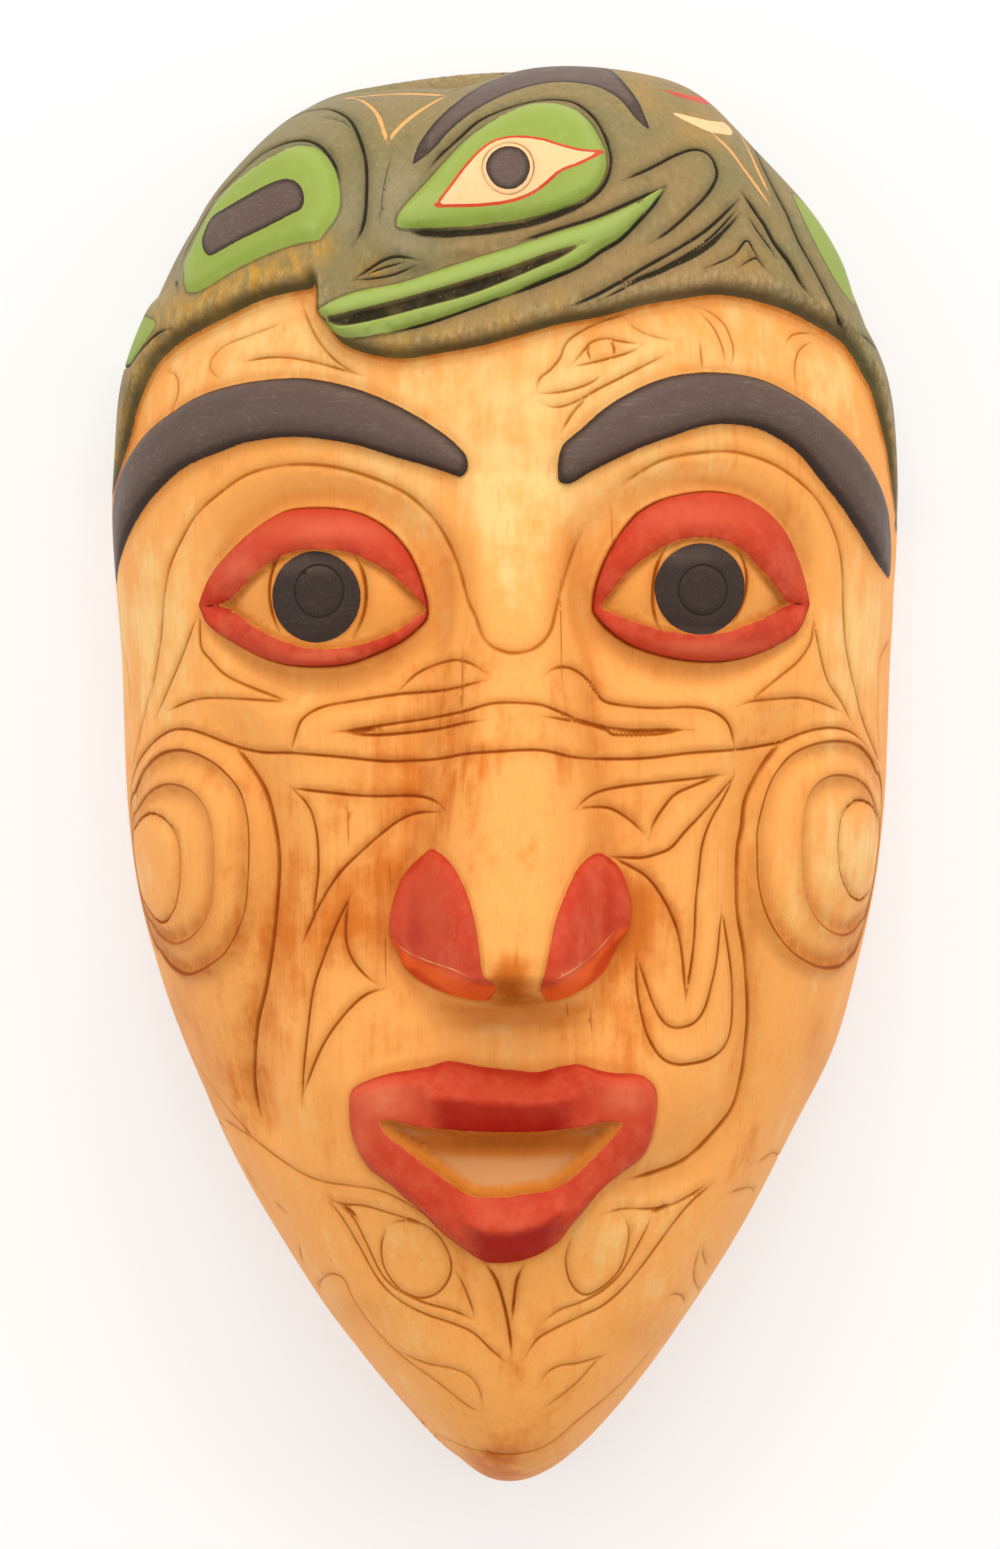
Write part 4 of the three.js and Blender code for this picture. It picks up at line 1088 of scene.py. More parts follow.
    def knife(self, u, v):
        """Depth of the knife lines, and the darkness of the stain in and beside them."""
        depth, dark, halo = np.zeros(len(u)), np.zeros(len(u)), np.zeros(len(u))
        for cut in self.cuts:
            share, spread = cut.read(u, v)
            depth = np.maximum(depth, share * cut.depth)
            dark = np.maximum(dark, share * cut.darkness)
            halo = np.maximum(halo, spread * cut.darkness)
        bare = np.zeros(len(u))
        for cut in self.bare_cuts:
            share, _ = cut.read(u, v)
            bare = np.maximum(bare, share * cut.darkness)
            depth = np.maximum(depth, share * cut.depth)
        return depth, dark, halo, bare


class ReliefMap:
    """Relief on a square grid over the unrolled face, blurred to find its hollows and its ridges."""

    STEP = 0.6

    def __init__(self, carving):
        face = carving.face
        reach = face.reach(np.linspace(face.bottom, face.top, 200)).max()
        self.us = np.arange(-reach, reach + self.STEP, self.STEP)
        self.vs = np.arange(face.bottom, face.top + self.STEP, self.STEP)
        u, v = (axis.ravel() for axis in np.meshgrid(self.us, self.vs))
        v = np.clip(v, face.bottom + 0.01, face.top - 0.01)
        self.height = carving.height(u, v).reshape(len(self.vs), len(self.us))

    def blur(self, radius):
        """Mean of the neighbours under a bell curve, along one axis and then the other."""
        reach = int(3 * radius / self.STEP)
        bell = np.exp(-(np.arange(-reach, reach + 1) * self.STEP / radius) ** 2 / 2)
        bell /= bell.sum()
        padded = np.pad(self.height, reach, mode="edge")
        across = sum(w * padded[:, i:i + len(self.us)] for i, w in enumerate(bell))
        return sum(w * across[i:i + len(self.vs)] for i, w in enumerate(bell))

    def read(self, grid, u, v):
        """Straight-line mix of the four grid values round each place."""
        column = np.clip((u - self.us[0]) / self.STEP, 0, len(self.us) - 1.001)
        row = np.clip((v - self.vs[0]) / self.STEP, 0, len(self.vs) - 1.001)
        c, r = column.astype(int), row.astype(int)
        fc, fr = column - c, row - r
        low = grid[r, c] * (1 - fc) + grid[r, c + 1] * fc
        high = grid[r + 1, c] * (1 - fc) + grid[r + 1, c + 1] * fc
        return low * (1 - fr) + high * fr


def hexagonal(low, high, step):
    """Points of a triangular grid in a box: alternate rows are moved half a step."""
    rows = np.arange(low[1], high[1], step * 0.866)
    columns = np.arange(low[0], high[0], step)
    u, v = np.meshgrid(columns, rows)
    u = u + np.where(np.arange(len(rows)) % 2, step / 2, 0)[:, None]
    return np.stack([u.ravel(), v.ravel()], 1)


def along_line(points, closed, spacing, offsets):
    """Evenly spaced points along a line, and beside it at each offset."""
    line = np.vstack([points, points[:1]]) if closed else points
    lengths = lengths_along(line)
    count = max(int(lengths[-1] / spacing), 2)
    places = np.linspace(0, lengths[-1], count + 1)
    line = np.stack([np.interp(places, lengths, axis) for axis in line.T], 1)
    step = np.gradient(line, axis=0)
    side = np.stack([-step[:, 1], step[:, 0]], 1) / np.maximum(np.hypot(*step.T), 1e-9)[:, None]
    return np.vstack([line + side * offset for offset in offsets])


def thinned(points, taken, cell):
    """The points whose cell of a fine grid, and its neighbours, hold no earlier point."""
    low = points.min(0) - cell * 4
    size = ((points.max(0) + cell * 4 - low) / cell).astype(int) + 1
    places = ((points - low) / cell).astype(int)
    codes = places[:, 0] * size[1] + places[:, 1]
    _, first = np.unique(codes, return_index=True)
    keep = np.zeros(len(points), bool)
    keep[first] = True
    if taken is not None and len(taken):
        grid = np.zeros(size, bool)
        spots = np.clip(((taken - low) / cell).astype(int), 1, size - 2)
        for across in (-1, 0, 1):
            for up in (-1, 0, 1):
                grid[spots[:, 0] + across, spots[:, 1] + up] = True
        keep &= ~grid[places[:, 0], places[:, 1]]
    return points[keep]


class FaceMesh:
    """Triangles over the unrolled face: fine along knife lines and edges, even elsewhere."""

    # How much closer the rows lie to each other at the chin and the crown
    CROWD = 0.12

    # Steps along lines and edges, and the offsets of the points beside an edge and beside a ridge
    LINE_STEP = 0.9
    EDGE_STEP = 1.0
    BESIDE_EDGE = (0, -0.6, 0.6)
    BESIDE_RIDGE = (-0.4, 0, 0.4)

    # Cells that hold one fine point each, the share of a plain step kept clear, and the rim's margin
    LINE_CELL = 0.3
    EDGE_CELL = 0.35
    PLAIN_CELL = 0.42
    MARGIN = 0.8

    def __init__(self, carving, rows, spacing):
        self.carving = carving
        face = carving.face
        spread = np.linspace(0, 1, rows + 1)
        self.spread = spread - self.CROWD * np.sin(2 * np.pi * spread) / (2 * np.pi)
        along = face.bottom + (face.top - face.bottom) * self.spread
        reach = face.reach(along)
        right = np.stack([reach, along], 1)
        left = np.stack([-reach, along], 1)[1:-1][::-1]
        self.edge = np.vstack([right, left])
        self.rows = rows
        self.points = self.spread_points(spacing)
        self.triangulate()

    def spread_points(self, spacing):
        """Fine points along cuts and outlines, and a triangular grid wherever none of them is near."""
        carving, face = self.carving, self.carving.face
        lines = [along_line(cut.points, cut.closed, self.LINE_STEP, [0, -cut.half_width, cut.half_width])
                 for cut in carving.cuts + carving.bare_cuts]
        crisp = [carving.lips, carving.mouth, carving.frog, carving.frog_mouth]
        crisp += carving.brows + carving.lids + carving.openings + carving.wings
        crisp += [outline for side in carving.rings for outline in side]
        crisp += [carving.frog_brow, carving.wedge, carving.slit, carving.almond]
        edges = [along_line(shape.points, True, self.EDGE_STEP, self.BESIDE_EDGE) for shape in crisp]
        soft = [carving.frog_eye, carving.frog_flank, carving.frog_lips, carving.flank_oval] + carving.irises
        edges += [along_line(shape.points, True, self.EDGE_STEP, [0]) for shape in soft]
        edges += [along_line(run, False, self.LINE_STEP, self.BESIDE_RIDGE) for run in carving.wing_ridges]
        fine = thinned(np.vstack(lines), None, self.LINE_CELL)
        fine = np.vstack([fine, thinned(np.vstack(edges), fine, self.EDGE_CELL)])
        base = hexagonal(self.edge.min(0), self.edge.max(0), spacing)
        points = np.vstack([fine, thinned(base, fine, spacing * self.PLAIN_CELL)])
        u, v = points.T
        clear = np.abs(u) < face.reach(v) - self.MARGIN
        clear &= (v > face.bottom + self.MARGIN) & (v < face.top - self.MARGIN)
        return points[clear]

    def triangulate(self):
        """Delaunay triangles over the points, less those whose middle is outside the edge."""
        count = len(self.edge)
        everything = np.vstack([self.edge, self.points])
        vectors = [Vector(place) for place in everything.tolist()]
        outline = [list(range(count))]
        places, _, faces, origins, _, _ = delaunay_2d_cdt(vectors, [], outline, 1, 1e-5, True)
        self.places = np.array([tuple(place) for place in places])
        triangles = np.array(faces)
        self.triangles = triangles[inside(self.edge, *self.places[triangles].mean(1).T)]
        first = np.full(count, -1)
        for index, sources in enumerate(origins):
            for source in sources:
                if source < count:
                    first[source] = index
        self.edge_vertices = first


class CarvedMask:
    """Vertices, faces and painted attributes of the whole mask, in millimetres."""

    # The rim's bevel, and the height over which the sides are drawn up to leave room for it
    CHAMFER = 0.8
    DRAWN_UP = 2.5

    # Gouge strokes in the hollow: width, length and depth
    GOUGE_WIDTH = 11
    GOUGE_LENGTH = 34
    GOUGE_DEPTH = 0.7
    HOLLOW_COLUMNS = 60

    # Radii that the relief is blurred over: fine forms, the hollows between them, and broad basins
    FINE_BLUR = 0.7
    CAVITY_BLUR = 2
    BASIN_BLUR = 5

    # Half width of the red line round the frog's eye, and a distance that stands for far from any paint
    ALMOND_LINE = 0.32
    FAR = -9.0

    def __init__(self, carving, rows, spacing):
        self.carving = carving
        self.front = FaceMesh(carving, rows, spacing)
        self.rows = rows
        self.carve_front()
        self.carve_hollow()
        self.join_rim()

    def lifted(self, points):
        """The last millimetres over the rim's plane, drawn up to leave room for the rim's bevel."""
        z = np.maximum(points[:, 2], 0)
        points[:, 2] = z + self.CHAMFER * np.exp(-z / self.DRAWN_UP)
        return points

    def carve_front(self):
        """The face's shell, moved along its normals by the relief less the knife lines."""
        carving, face = self.carving, self.carving.face
        u, v = self.front.places.T
        v = np.clip(v, face.bottom, face.top)
        share = np.clip(u / np.maximum(face.reach(v), 1e-6), -1, 1)
        base = face.point(share, v)
        height = carving.height(u, v)
        depth, dark, halo, bare = carving.knife(u, v)
        depth = depth * ramp(base[:, 2], *CUT_FADE)
        points = base + face.normal(share, v) * (height - depth)[:, None]
        edge = self.front.edge_vertices
        points[edge] = base[edge]
        self.front_points = self.lifted(points)
        groove = np.maximum(dark, 0.62 * ramp(carving.frog_mouth.depth(u, v), -0.2, 0.5))
        self.maps = self.painted(u, v) | self.stain_shade_and_sheen_maps(u, v)
        self.maps |= {"groove": groove, "bare": bare, "halo": halo}

    def painted(self, u, v):
        """Distance in from the edge of each paint: the greatest of its shapes' distances."""
        carving = self.carving

        def depths(*shapes):
            return [shape.depth(u, v) for shape in shapes]

        openings = depths(*carving.openings)
        irises = [np.minimum(*pair) for pair in zip(depths(*carving.irises), openings)]
        lids = [np.minimum(lid, -opening) for lid, opening in zip(depths(*carving.lids), openings)]
        lips, mouth = depths(carving.lips, carving.mouth)
        frog_lips, frog_mouth = depths(carving.frog_lips, carving.frog_mouth)
        almond, wedge = depths(carving.almond, carving.wedge)
        green = depths(carving.frog_eye, carving.frog_flank, *carving.feet)
        black = depths(*carving.brows, carving.frog_brow, carving.flank_oval, carving.frog_iris)
        red = depths(*carving.wings, carving.slit)
        shapes = {
            "olive": depths(carving.frog),
            "green": green + [np.minimum(frog_lips, -frog_mouth)],
            "black": irises + black,
            "red": red + lids + [np.minimum(lips, -mouth), self.ALMOND_LINE - np.abs(almond)],
            "cream": [almond, wedge],
            "eyeball": openings,
            "mouth": [mouth],
        }
        return {name: np.max(shapes[name], 0) for name in PAINTED}

    def stain_shade_and_sheen_maps(self, u, v):
        """Soft maps of hollows, tone, stain and wear, with the painted shade and the painted sheen among
        them, and of the facets that look down.
        """
        scale = SHEET_REACH / (EYE_HEIGHT - self.front_points[:, 2])
        p = SHEET_MIDDLE[0] + self.front_points[:, 0] * scale
        q = SHEET_MIDDLE[1] - self.front_points[:, 1] * scale
        relief = ReliefMap(self.carving)
        fine = relief.blur(self.FINE_BLUR)
        return {
            "cavity": relief.read(relief.blur(self.CAVITY_BLUR) - fine, u, v),
            "basin": relief.read(relief.blur(self.BASIN_BLUR) - fine, u, v),
            # Tone of the stain, with a painted sheen down the sides and painted shade at the nose's tip and
            # under the chin
            "tone": bells(p, q, TONES_SHADE_AND_SHEEN),
            "gold": bells(p, q, GOLDS),
            "grey": bells(p, q, GREYS),
            # Stain and painted shade left lying at the listed places and round the cheeks' rings
            "stain_and_shade": smears(p, q, STAINS_AND_SHADE) + self.ring_shade_and_stain(u, v),
            # Painted sheen with some wear on the red, and painted highlights on the irises' tops
            "rubbed": smears(p, q, SHEEN_AND_RUBS),
            # Facets that face the chin, where the red gets painted shade, and facets below the wings' ridges,
            # where it gets partly painted light
            "under": self.carving.under_lips(u, v),
            "below": self.carving.under_wings(u, v),
        }

    def ring_shade_and_stain(self, u, v):
        """Painted shade with stain in bands inside the two outer rings of each cheek, weaker toward the
        crown, where the light comes from.
        """
        stain = np.zeros(len(u))
        for side in self.carving.rings:
            low = 0.45 + 0.55 * ramp(side[0].points[:, 1].mean() - v, -10, 22)
            bands = sum(np.exp(-((outline.depth(u, v) - 0.9) / 2.4) ** 2) for outline in side[:2])
            stain += 0.95 * low * bands
        return stain

    def carve_hollow(self):
        """The hollow's shell on a grid, cut over by upright gouge strokes with rounded floors."""
        hollow = self.carving.hollow
        columns = self.HOLLOW_COLUMNS
        along = hollow.bottom + (hollow.top - hollow.bottom) * self.front.spread
        share, v = np.meshgrid(np.linspace(-1, 1, columns + 1), along[1:-1])
        share, v = share.ravel(), v.ravel()
        base = hollow.point(share, v)
        u = share * hollow.reach(v)
        stroke = u / self.GOUGE_WIDTH + 0.3 * np.sin(v / 19) + 0.15 * np.sin(v / 7 + 2)
        across = 2 * (stroke - np.floor(stroke)) - 1
        reach = 0.7 + 0.3 * np.cos(2 * np.pi * (v / self.GOUGE_LENGTH + 0.37 * np.floor(stroke)))
        gouge = self.GOUGE_DEPTH * (1 - across ** 2) * reach * ramp(base[:, 2], 3, 14)
        points = base + hollow.normal(share, v) * gouge[:, None]
        edge = np.abs(share) == 1
        points[edge] = base[edge]
        ends = hollow.point(np.zeros(2), np.array([hollow.bottom, hollow.top]))
        self.hollow_points = self.lifted(np.vstack([points, ends]))

    def join_rim(self):
        """Flat rim between the two shells, with a small bevel on both of its edges."""
        rows, columns = self.rows, self.HOLLOW_COLUMNS
        first_hollow = len(self.front_points)
        grid = first_hollow + np.arange((rows - 1) * (columns + 1)).reshape(rows - 1, columns + 1)
        low_end, high_end = first_hollow + grid.size, first_hollow + grid.size + 1
        outer = self.front.edge_vertices
        inner = np.concatenate([[low_end], grid[:, -1], [high_end], grid[::-1, 0]])
        points = np.vstack([self.front_points, self.hollow_points])
        gap = points[inner, :2] - points[outer, :2]
        gap = gap / np.hypot(*gap.T)[:, None] * self.CHAMFER
        flat = np.zeros((2, len(outer), 3))
        flat[0, :, :2] = points[outer, :2] + gap
        flat[1, :, :2] = points[inner, :2] - gap
        flat_outer = len(points) + np.arange(len(outer))
        flat_inner = flat_outer + len(outer)
        self.points = np.vstack([points, flat[0], flat[1]])
        bands = []
        for a, b in [(outer, flat_outer), (flat_outer, flat_inner), (flat_inner, inner)]:
            bands.append(np.stack([a, b, np.roll(b, -1), np.roll(a, -1)], 1))
        bands.append(np.stack([grid[:-1, :-1], grid[1:, :-1], grid[1:, 1:], grid[:-1, 1:]], 2).reshape(-1, 4))
        self.quads = np.vstack(bands)
        low_fan = np.stack([np.full(columns, low_end), grid[0, :-1], grid[0, 1:]], 1)
        high_fan = np.stack([np.full(columns, high_end), grid[-1, 1:], grid[-1, :-1]], 1)
        self.triangles = np.vstack([self.front.triangles, low_fan, high_fan])

    def mesh(self, name):
        """The whole in metres, with its maps."""
        mesh = bpy.data.meshes.new(name)
        faces = self.triangles.tolist() + self.quads.tolist()
        mesh.from_pydata((self.points * MM).tolist(), [], faces)
        mesh.update()
        for title, values in self.maps.items():
            self.keep(mesh, title, values, self.FAR if title in PAINTED else 0)
        self.keep(mesh, "back", np.zeros(len(self.front_points)), 1)
        mesh.shade_smooth()
        return mesh

    def keep(self, mesh, title, values, rest):
        """A map kept on the mesh: its values over the front, and one value over the rest."""
        rests = np.full(len(self.points) - len(values), rest)
        layer = mesh.attributes.new(title, "FLOAT", "POINT")
        layer.data.foreach_set("value", np.concatenate([values, rests]).astype(np.float32))


def linear(red, green, blue):
    """A colour read in a picture's 0 to 255 steps, as light."""
    shares = np.array([red, green, blue]) / 255
    light = np.where(shares <= 0.04045, shares / 12.92, ((shares + 0.055) / 1.055) ** 2.4)
    return (*(round(float(value), 4) for value in light), 1.0)


# Tints and shades laid over the main colours
EYE_WOOD = linear(212, 128, 48)
MOUTH_WOOD = linear(202, 116, 34)
CHALKY_WOOD = linear(204, 150, 98)
SCRAPED_WOOD = linear(236, 168, 100)
PALE_OLIVE = linear(164, 150, 124)
BRUSH_MARKS = linear(88, 74, 40)
PALE_WEAVE = linear(196, 178, 138)
DARK_WEAVE = linear(84, 72, 38)
WORN_OLIVE = linear(196, 170, 124)
OLIVE_SHADE = linear(50, 44, 22)
WORN_GREEN = linear(172, 184, 112)
GREEN_SHADE = linear(60, 76, 28)
ORANGE_AND_LIT_RED = linear(238, 92, 24)
RED_SHADE = linear(162, 10, 3)
RED_GROOVE = linear(92, 20, 8)
BRISTLE_MARKS = linear(138, 120, 108)
# Painted highlight on the irises' tops
IRIS_HIGHLIGHT = linear(92, 76, 66)
BLACK_SCRATCHES = linear(150, 134, 122)
OLIVE_SPECKS = linear(214, 204, 186)
FLOOR_TINTS = (linear(173, 172, 170), linear(170, 169, 167))
FLOOR_GLOW = linear(255, 252, 251)


class Socket:
    """A shader value: arithmetic on it adds Math nodes."""

    def __init__(self, shading, socket):
        self.shading = shading
        self.socket = socket

    def math(self, operation, *values):
        return self.shading.node("Math", {"operation": operation}, dict(enumerate(values)))

    def __add__(self, other):
        return self.math("ADD", self, other)

    def __radd__(self, other):
        return self.math("ADD", other, self)

    def __sub__(self, other):
        return self.math("SUBTRACT", self, other)

    def __rsub__(self, other):
        return self.math("SUBTRACT", other, self)

    def __mul__(self, other):
        return self.math("MULTIPLY", self, other)

    def __rmul__(self, other):
        return self.math("MULTIPLY", other, self)

    def between(self, low, high):
        """0 below low and 1 above high, smooth between."""
        settings = {"interpolation_type": "SMOOTHSTEP"}
        values = {"Value": self, "From Min": low, "From Max": high}
        return self.shading.node("MapRange", settings, values)

    def most(self, other):
        return self.math("MAXIMUM", self, other)


class Nodes:
    """A node tree, and the one way in which nodes are added to it."""

    def __init__(self, tree):
        self.tree = tree

    def node(self, kind, settings, values, output=0):
        """A node of a kind: its settings are made first, and then its sockets' values or links."""
        node = self.tree.nodes.new("ShaderNode" + kind)
        for name, setting in settings.items():
            setattr(node, name, setting)
        for place, value in values.items():
            self.feed(node.inputs[place], value)
        return Socket(self, node.outputs[output])

    def feed(self, socket, value):
        if isinstance(value, Socket):
            self.tree.links.new(value.socket, socket)
        else:
            socket.default_value = value


class Shading(Nodes):
    """One material's node tree."""

    def __init__(self, name):
        self.material = bpy.data.materials.new(name)
        self.material.use_nodes = True
        super().__init__(self.material.node_tree)
        self.shader = self.tree.nodes["Principled BSDF"]

    def map(self, name):
        """One of the maps that the mesh keeps."""
        return self.node("Attribute", {"attribute_name": name}, {}, "Fac")

    def place(self, scale):
        """Object coordinates, scaled on each axis."""
        spot = self.node("TexCoord", {}, {}, "Object")
        return self.node("VectorMath", {"operation": "MULTIPLY"}, {0: spot, 1: scale})

    def noise(self, scale, detail=3.0, roughness=0.55, distortion=0.0):
        """Noise with so many wavelengths per metre along each axis."""
        values = {"Vector": self.place(scale), "Scale": 1.0, "Detail": detail, "Roughness": roughness,
                  "Distortion": distortion}
        return self.node("TexNoise", {}, values)

    def mix(self, share, first, second, blend="MIX"):
        """Colours mixed by a share, which is held between 0 and 1."""
        settings = {"data_type": "RGBA", "blend_type": blend, "clamp_factor": True}
        return self.node("Mix", settings, {0: share, 6: first, 7: second}, 2)


def length_property(name, description, default, least=0.0):
    """A length in metres."""
    return FloatProperty(name=name, description=description, default=default, min=least, unit="LENGTH")


class MaskSizes(bpy.types.PropertyGroup):
    """Main sizes of the carving"""

    half_height: length_property(
        "Half height", "From the middle of the rim to the crown and to the chin", 0.1526, 0.05)
    half_width: length_property("Half width", "From the middle of the rim to each side", 0.08519, 0.03)
    face_depth: length_property(
        "Face depth", "From the rim's plane to the bare shell over the middle of the face", 0.084, 0.03)
    brow_rise: length_property("Brow rise", "Height of the painted brows over the forehead", 0.0032)
    frog_rise: length_property("Frog rise", "Height of the frog's layer over the forehead", 0.004)
    lip_rise: length_property("Lip rise", "Height of the ridge along the lips over the muzzle", 0.0065)
    rows: IntProperty(
        name="Rim rows", description="Steps along each side of the rim, from chin to crown",
        default=240, min=60, max=400)
    spacing: FloatProperty(
        name="Grid step", description="Distance between the points of the plain surface, in millimetres",
        default=1.13, min=0.8, max=4.0)


def colour_property(name, description, *steps):
    """A colour, from a picture's 0 to 255 steps."""
    return FloatVectorProperty(
        name=name, description=description, subtype="COLOR", size=4, min=0.0, max=1.0, default=linear(*steps))


class MaskColours(bpy.types.PropertyGroup):
    """Colours of the wood, its stain and the paints"""

    wood_pale: colour_property("Pale wood", "Bare wood where the oil has least stain", 240, 192, 120)
    wood_warm: colour_property("Warm wood", "Bare wood over most of the face", 239, 163, 84)
    wood_deep: colour_property("Deep wood", "Wood where the stain is rubbed in", 208, 106, 22)
    # Also the colour of the painted shade laid over the wood
    stain: colour_property("Stain", "Share of the light that one coat of stain lets through", 196, 160, 76)
    groove: colour_property("Groove", "Dark left in the knife lines through the frog's paint", 44, 37, 20)
    black: colour_property("Black", "Black paint of the irises", 58, 45, 39)
    # Laid on the crests of the black paint: partly worn paint and partly a painted sheen
    brow: colour_property("Brow", "Worn black paint of the brows and the frog", 94, 76, 67)
    red: colour_property("Red", "Red paint of the lids, nose wings and lips", 190, 58, 32)
    # Paler red for worn paint, and for the painted sheen on the lids, lips and wings
    red_worn_and_sheen: colour_property("Worn red", "Red paint rubbed thin over the wood", 222, 114, 78)
    green: colour_property("Green", "Bright green paint of the frog", 138, 154, 66)
    olive: colour_property("Olive", "Olive paint over the frog", 128, 116, 76)
    olive_brown: colour_property("Brown olive", "Browner parts of the frog", 152, 122, 78)
    gold: colour_property("Gold", "Golden wash along the frog's lower edges", 190, 140, 52)
    cream: colour_property("Cream", "Pale paint of the frog's eye", 240, 190, 138)


class MaskFinish(Shading):
    """The mask's one material: oiled wood, stain and paints, mixed by the maps that the mesh keeps."""

    EDGE = 0.06
    WOBBLE = 0.22
    GRAIN = ((1100, 26, 1100), 3.0, 0.6)
    SPECULAR = 0.09

    def __init__(self, palette):
        super().__init__("oiled and painted wood")
        self.palette = palette
        wobble = (self.noise((900, 900, 900), 2.0) - 0.5) * self.WOBBLE
        self.masks = {name: (self.map(name) + wobble).between(-self.EDGE, self.EDGE)
                      for name in PAINTED}
        self.uneven = self.noise((110, 110, 110), 3.0, 0.65).between(0.3, 0.62) * 0.4 + 0.62
        self.groove = self.map("groove") * self.uneven
        self.halo = self.map("halo")
        self.cavity = self.map("cavity")
        # Stain and painted shade from the listed places and the cheeks' rings
        self.stain_and_shade = self.map("stain_and_shade")
        self.rub = self.noise((260, 200, 260), 4.0, 0.65)
        self.painted = self.masks["olive"].most(self.masks["red"]).most(self.masks["black"])
        self.feed(self.shader.inputs["Base Color"], self.colour())
        self.feed(self.shader.inputs["Roughness"], self.roughness())
        self.feed(self.shader.inputs["Normal"], self.relief())
        self.feed(self.shader.inputs["Specular IOR Level"], self.SPECULAR)

    def coated(self, wood, share):
        """One coat of the stain's colour, which lets part of the light through: it lays stain, and painted
        shade too.
        """
        return self.mix(share, wood, self.palette.stain, "MULTIPLY")

    def bare_wood(self):
        """Bare wood: pale to warm to deep by tone and blotches, with upright grain and a few pores."""
        palette = self.palette
        mottle = self.noise((38, 22, 38), 4.0, 0.6) - 0.5
        blotch = self.noise((130, 110, 130), 4.0, 0.65) - 0.5
        figure = self.noise((170, 9, 170), 3.0, 0.6, 0.4) - 0.5
        brushed = self.noise((520, 24, 520), 4.0, 0.65, 0.6) - 0.5
        streak = self.noise(*self.GRAIN) - 0.5
        pores = self.noise((2600, 170, 2600), 2.0, 0.5)
        depth = self.map("tone") * 1.2 + mottle * 1.8 + blotch * 1.5 + figure * 0.8 + brushed * 0.7
        wood = self.mix((0.0 - depth).between(0.0, 0.85), palette.wood_warm, palette.wood_pale)
        wood = self.mix(depth.between(0.15, 1.0) * 0.85, wood, palette.wood_deep)
        wood = self.mix(streak.between(0.06, 0.3) * 0.3, wood, palette.wood_deep)
        wood = self.coated(wood, pores.between(0.64, 0.74) * 0.25)
        return self.mix(self.map("back") * 0.45, wood, palette.wood_deep)

    def stained_and_shaded_wood(self):
        """The wood under coats of stain and of painted shade.

        It is darker in its hollows and broad basins. Stain lies beside its cuts, in the mouth and once or
        twice over in the cuts themselves; painted shade with stain lies at the feet of the paints, round the
        cheeks' rings and at the listed places, and painted shade lies in the eyes under the lids.
        """
        eyeball, mouth = self.masks["eyeball"], self.masks["mouth"]
        wood = self.mix(self.map("basin").between(0.2, 2.0) * 0.2, self.bare_wood(),
                        self.palette.wood_deep)
        # Painted shade with stain on the wood at the feet of the frog, the red forms and the black brows
        shade_beside_frog = self.map("olive").between(-1.5, -0.1)
        shade_beside_red = self.map("red").between(-1.2, -0.1)
        shade_beside_black = self.map("black").between(-0.8, -0.1)
        # Painted shade on the eyeballs along the edges of the openings, under the lids
        lid_shadow = eyeball * (1 - self.map("eyeball").between(0.1, 2.2))
        hollow = self.cavity.between(0.05, 0.6) * 0.35 * (1 - mouth)
        # Stain beside the cuts, and painted shade at the feet of the paints
        beside = (self.halo * 0.5).most(shade_beside_frog * 0.9).most(shade_beside_red * 0.6).most(shade_beside_black * 0.6)
        stain_and_painted_shade = beside.most(hollow).most(lid_shadow * 0.9).most(self.stain_and_shade)
        wood = self.mix(eyeball * 0.4, wood, EYE_WOOD)
        wood = self.mix(mouth * 0.8, wood, MOUTH_WOOD)
        chalky = self.map("mouth").between(1.0, 2.2) * (1 - self.stain_and_shade.between(0.02, 0.35))
        wood = self.mix(chalky * 0.75, wood, CHALKY_WOOD)
        wood = self.coated(wood, stain_and_painted_shade * (self.rub.between(0.2, 0.65) * 0.4 + 0.6))
        wood = self.coated(wood, self.groove.between(0.0, 0.5))
        return self.coated(wood, self.groove.between(0.45, 1.0))

    def olive(self):
        """Olive paint rubbed thin: greyer, browner and golden parts and brush streaks, darker in hollows and
        beside cuts and green paint, with painted shade along its lower edge and with stain and painted shade
        where they lie.
        """
        palette = self.palette
        grey = self.map("grey")
        brush = self.noise((420, 60, 420), 4.0, 0.65)
        strokes = self.noise((560, 150, 300), 4.0, 0.65, 0.5)
        weave = self.noise((800, 340, 800), 4.0, 0.75)
        patchy = self.noise((70, 70, 70), 4.0, 0.6)
        brown = (0.0 - grey + (patchy - 0.5) * 1.6).between(-0.45, 0.7)
        washed = self.map("gold") * (strokes.between(0.35, 0.58) * 0.75 + 0.25)
        worn = (0.0 - self.cavity).between(0.06, 0.5)
        olive = self.mix(brown, palette.olive, palette.olive_brown)
        olive = self.mix(grey.between(0.2, 1.2) * 0.35, olive, PALE_OLIVE)
        olive = self.mix(washed, olive, palette.gold)
        olive = self.mix(brush.between(0.54, 0.72) * 0.26, olive, BRUSH_MARKS)
        olive = self.mix(weave.between(0.5, 0.68) * 0.12, olive, PALE_WEAVE)
        olive = self.mix((0.5 - weave).between(0.0, 0.16) * 0.14, olive, DARK_WEAVE)
        olive = self.mix(worn * weave.between(0.45, 0.6) * 0.25, olive, WORN_OLIVE)
        # Painted shade along the frog's lower edge, beside its step
        edge_shadow = (1 - self.map("olive").between(0.5, 2.1)) * 0.85
        near_green = self.map("green").between(-1.0, -0.1) * 0.6
        dark = (self.cavity.between(0.08, 0.7) * 0.5).most(edge_shadow)
        dark = dark.most(self.halo * 0.4).most(near_green).most(self.stain_and_shade)
        return self.mix(dark * (patchy.between(0.3, 0.6) * 0.25 + 0.65), olive, OLIVE_SHADE)

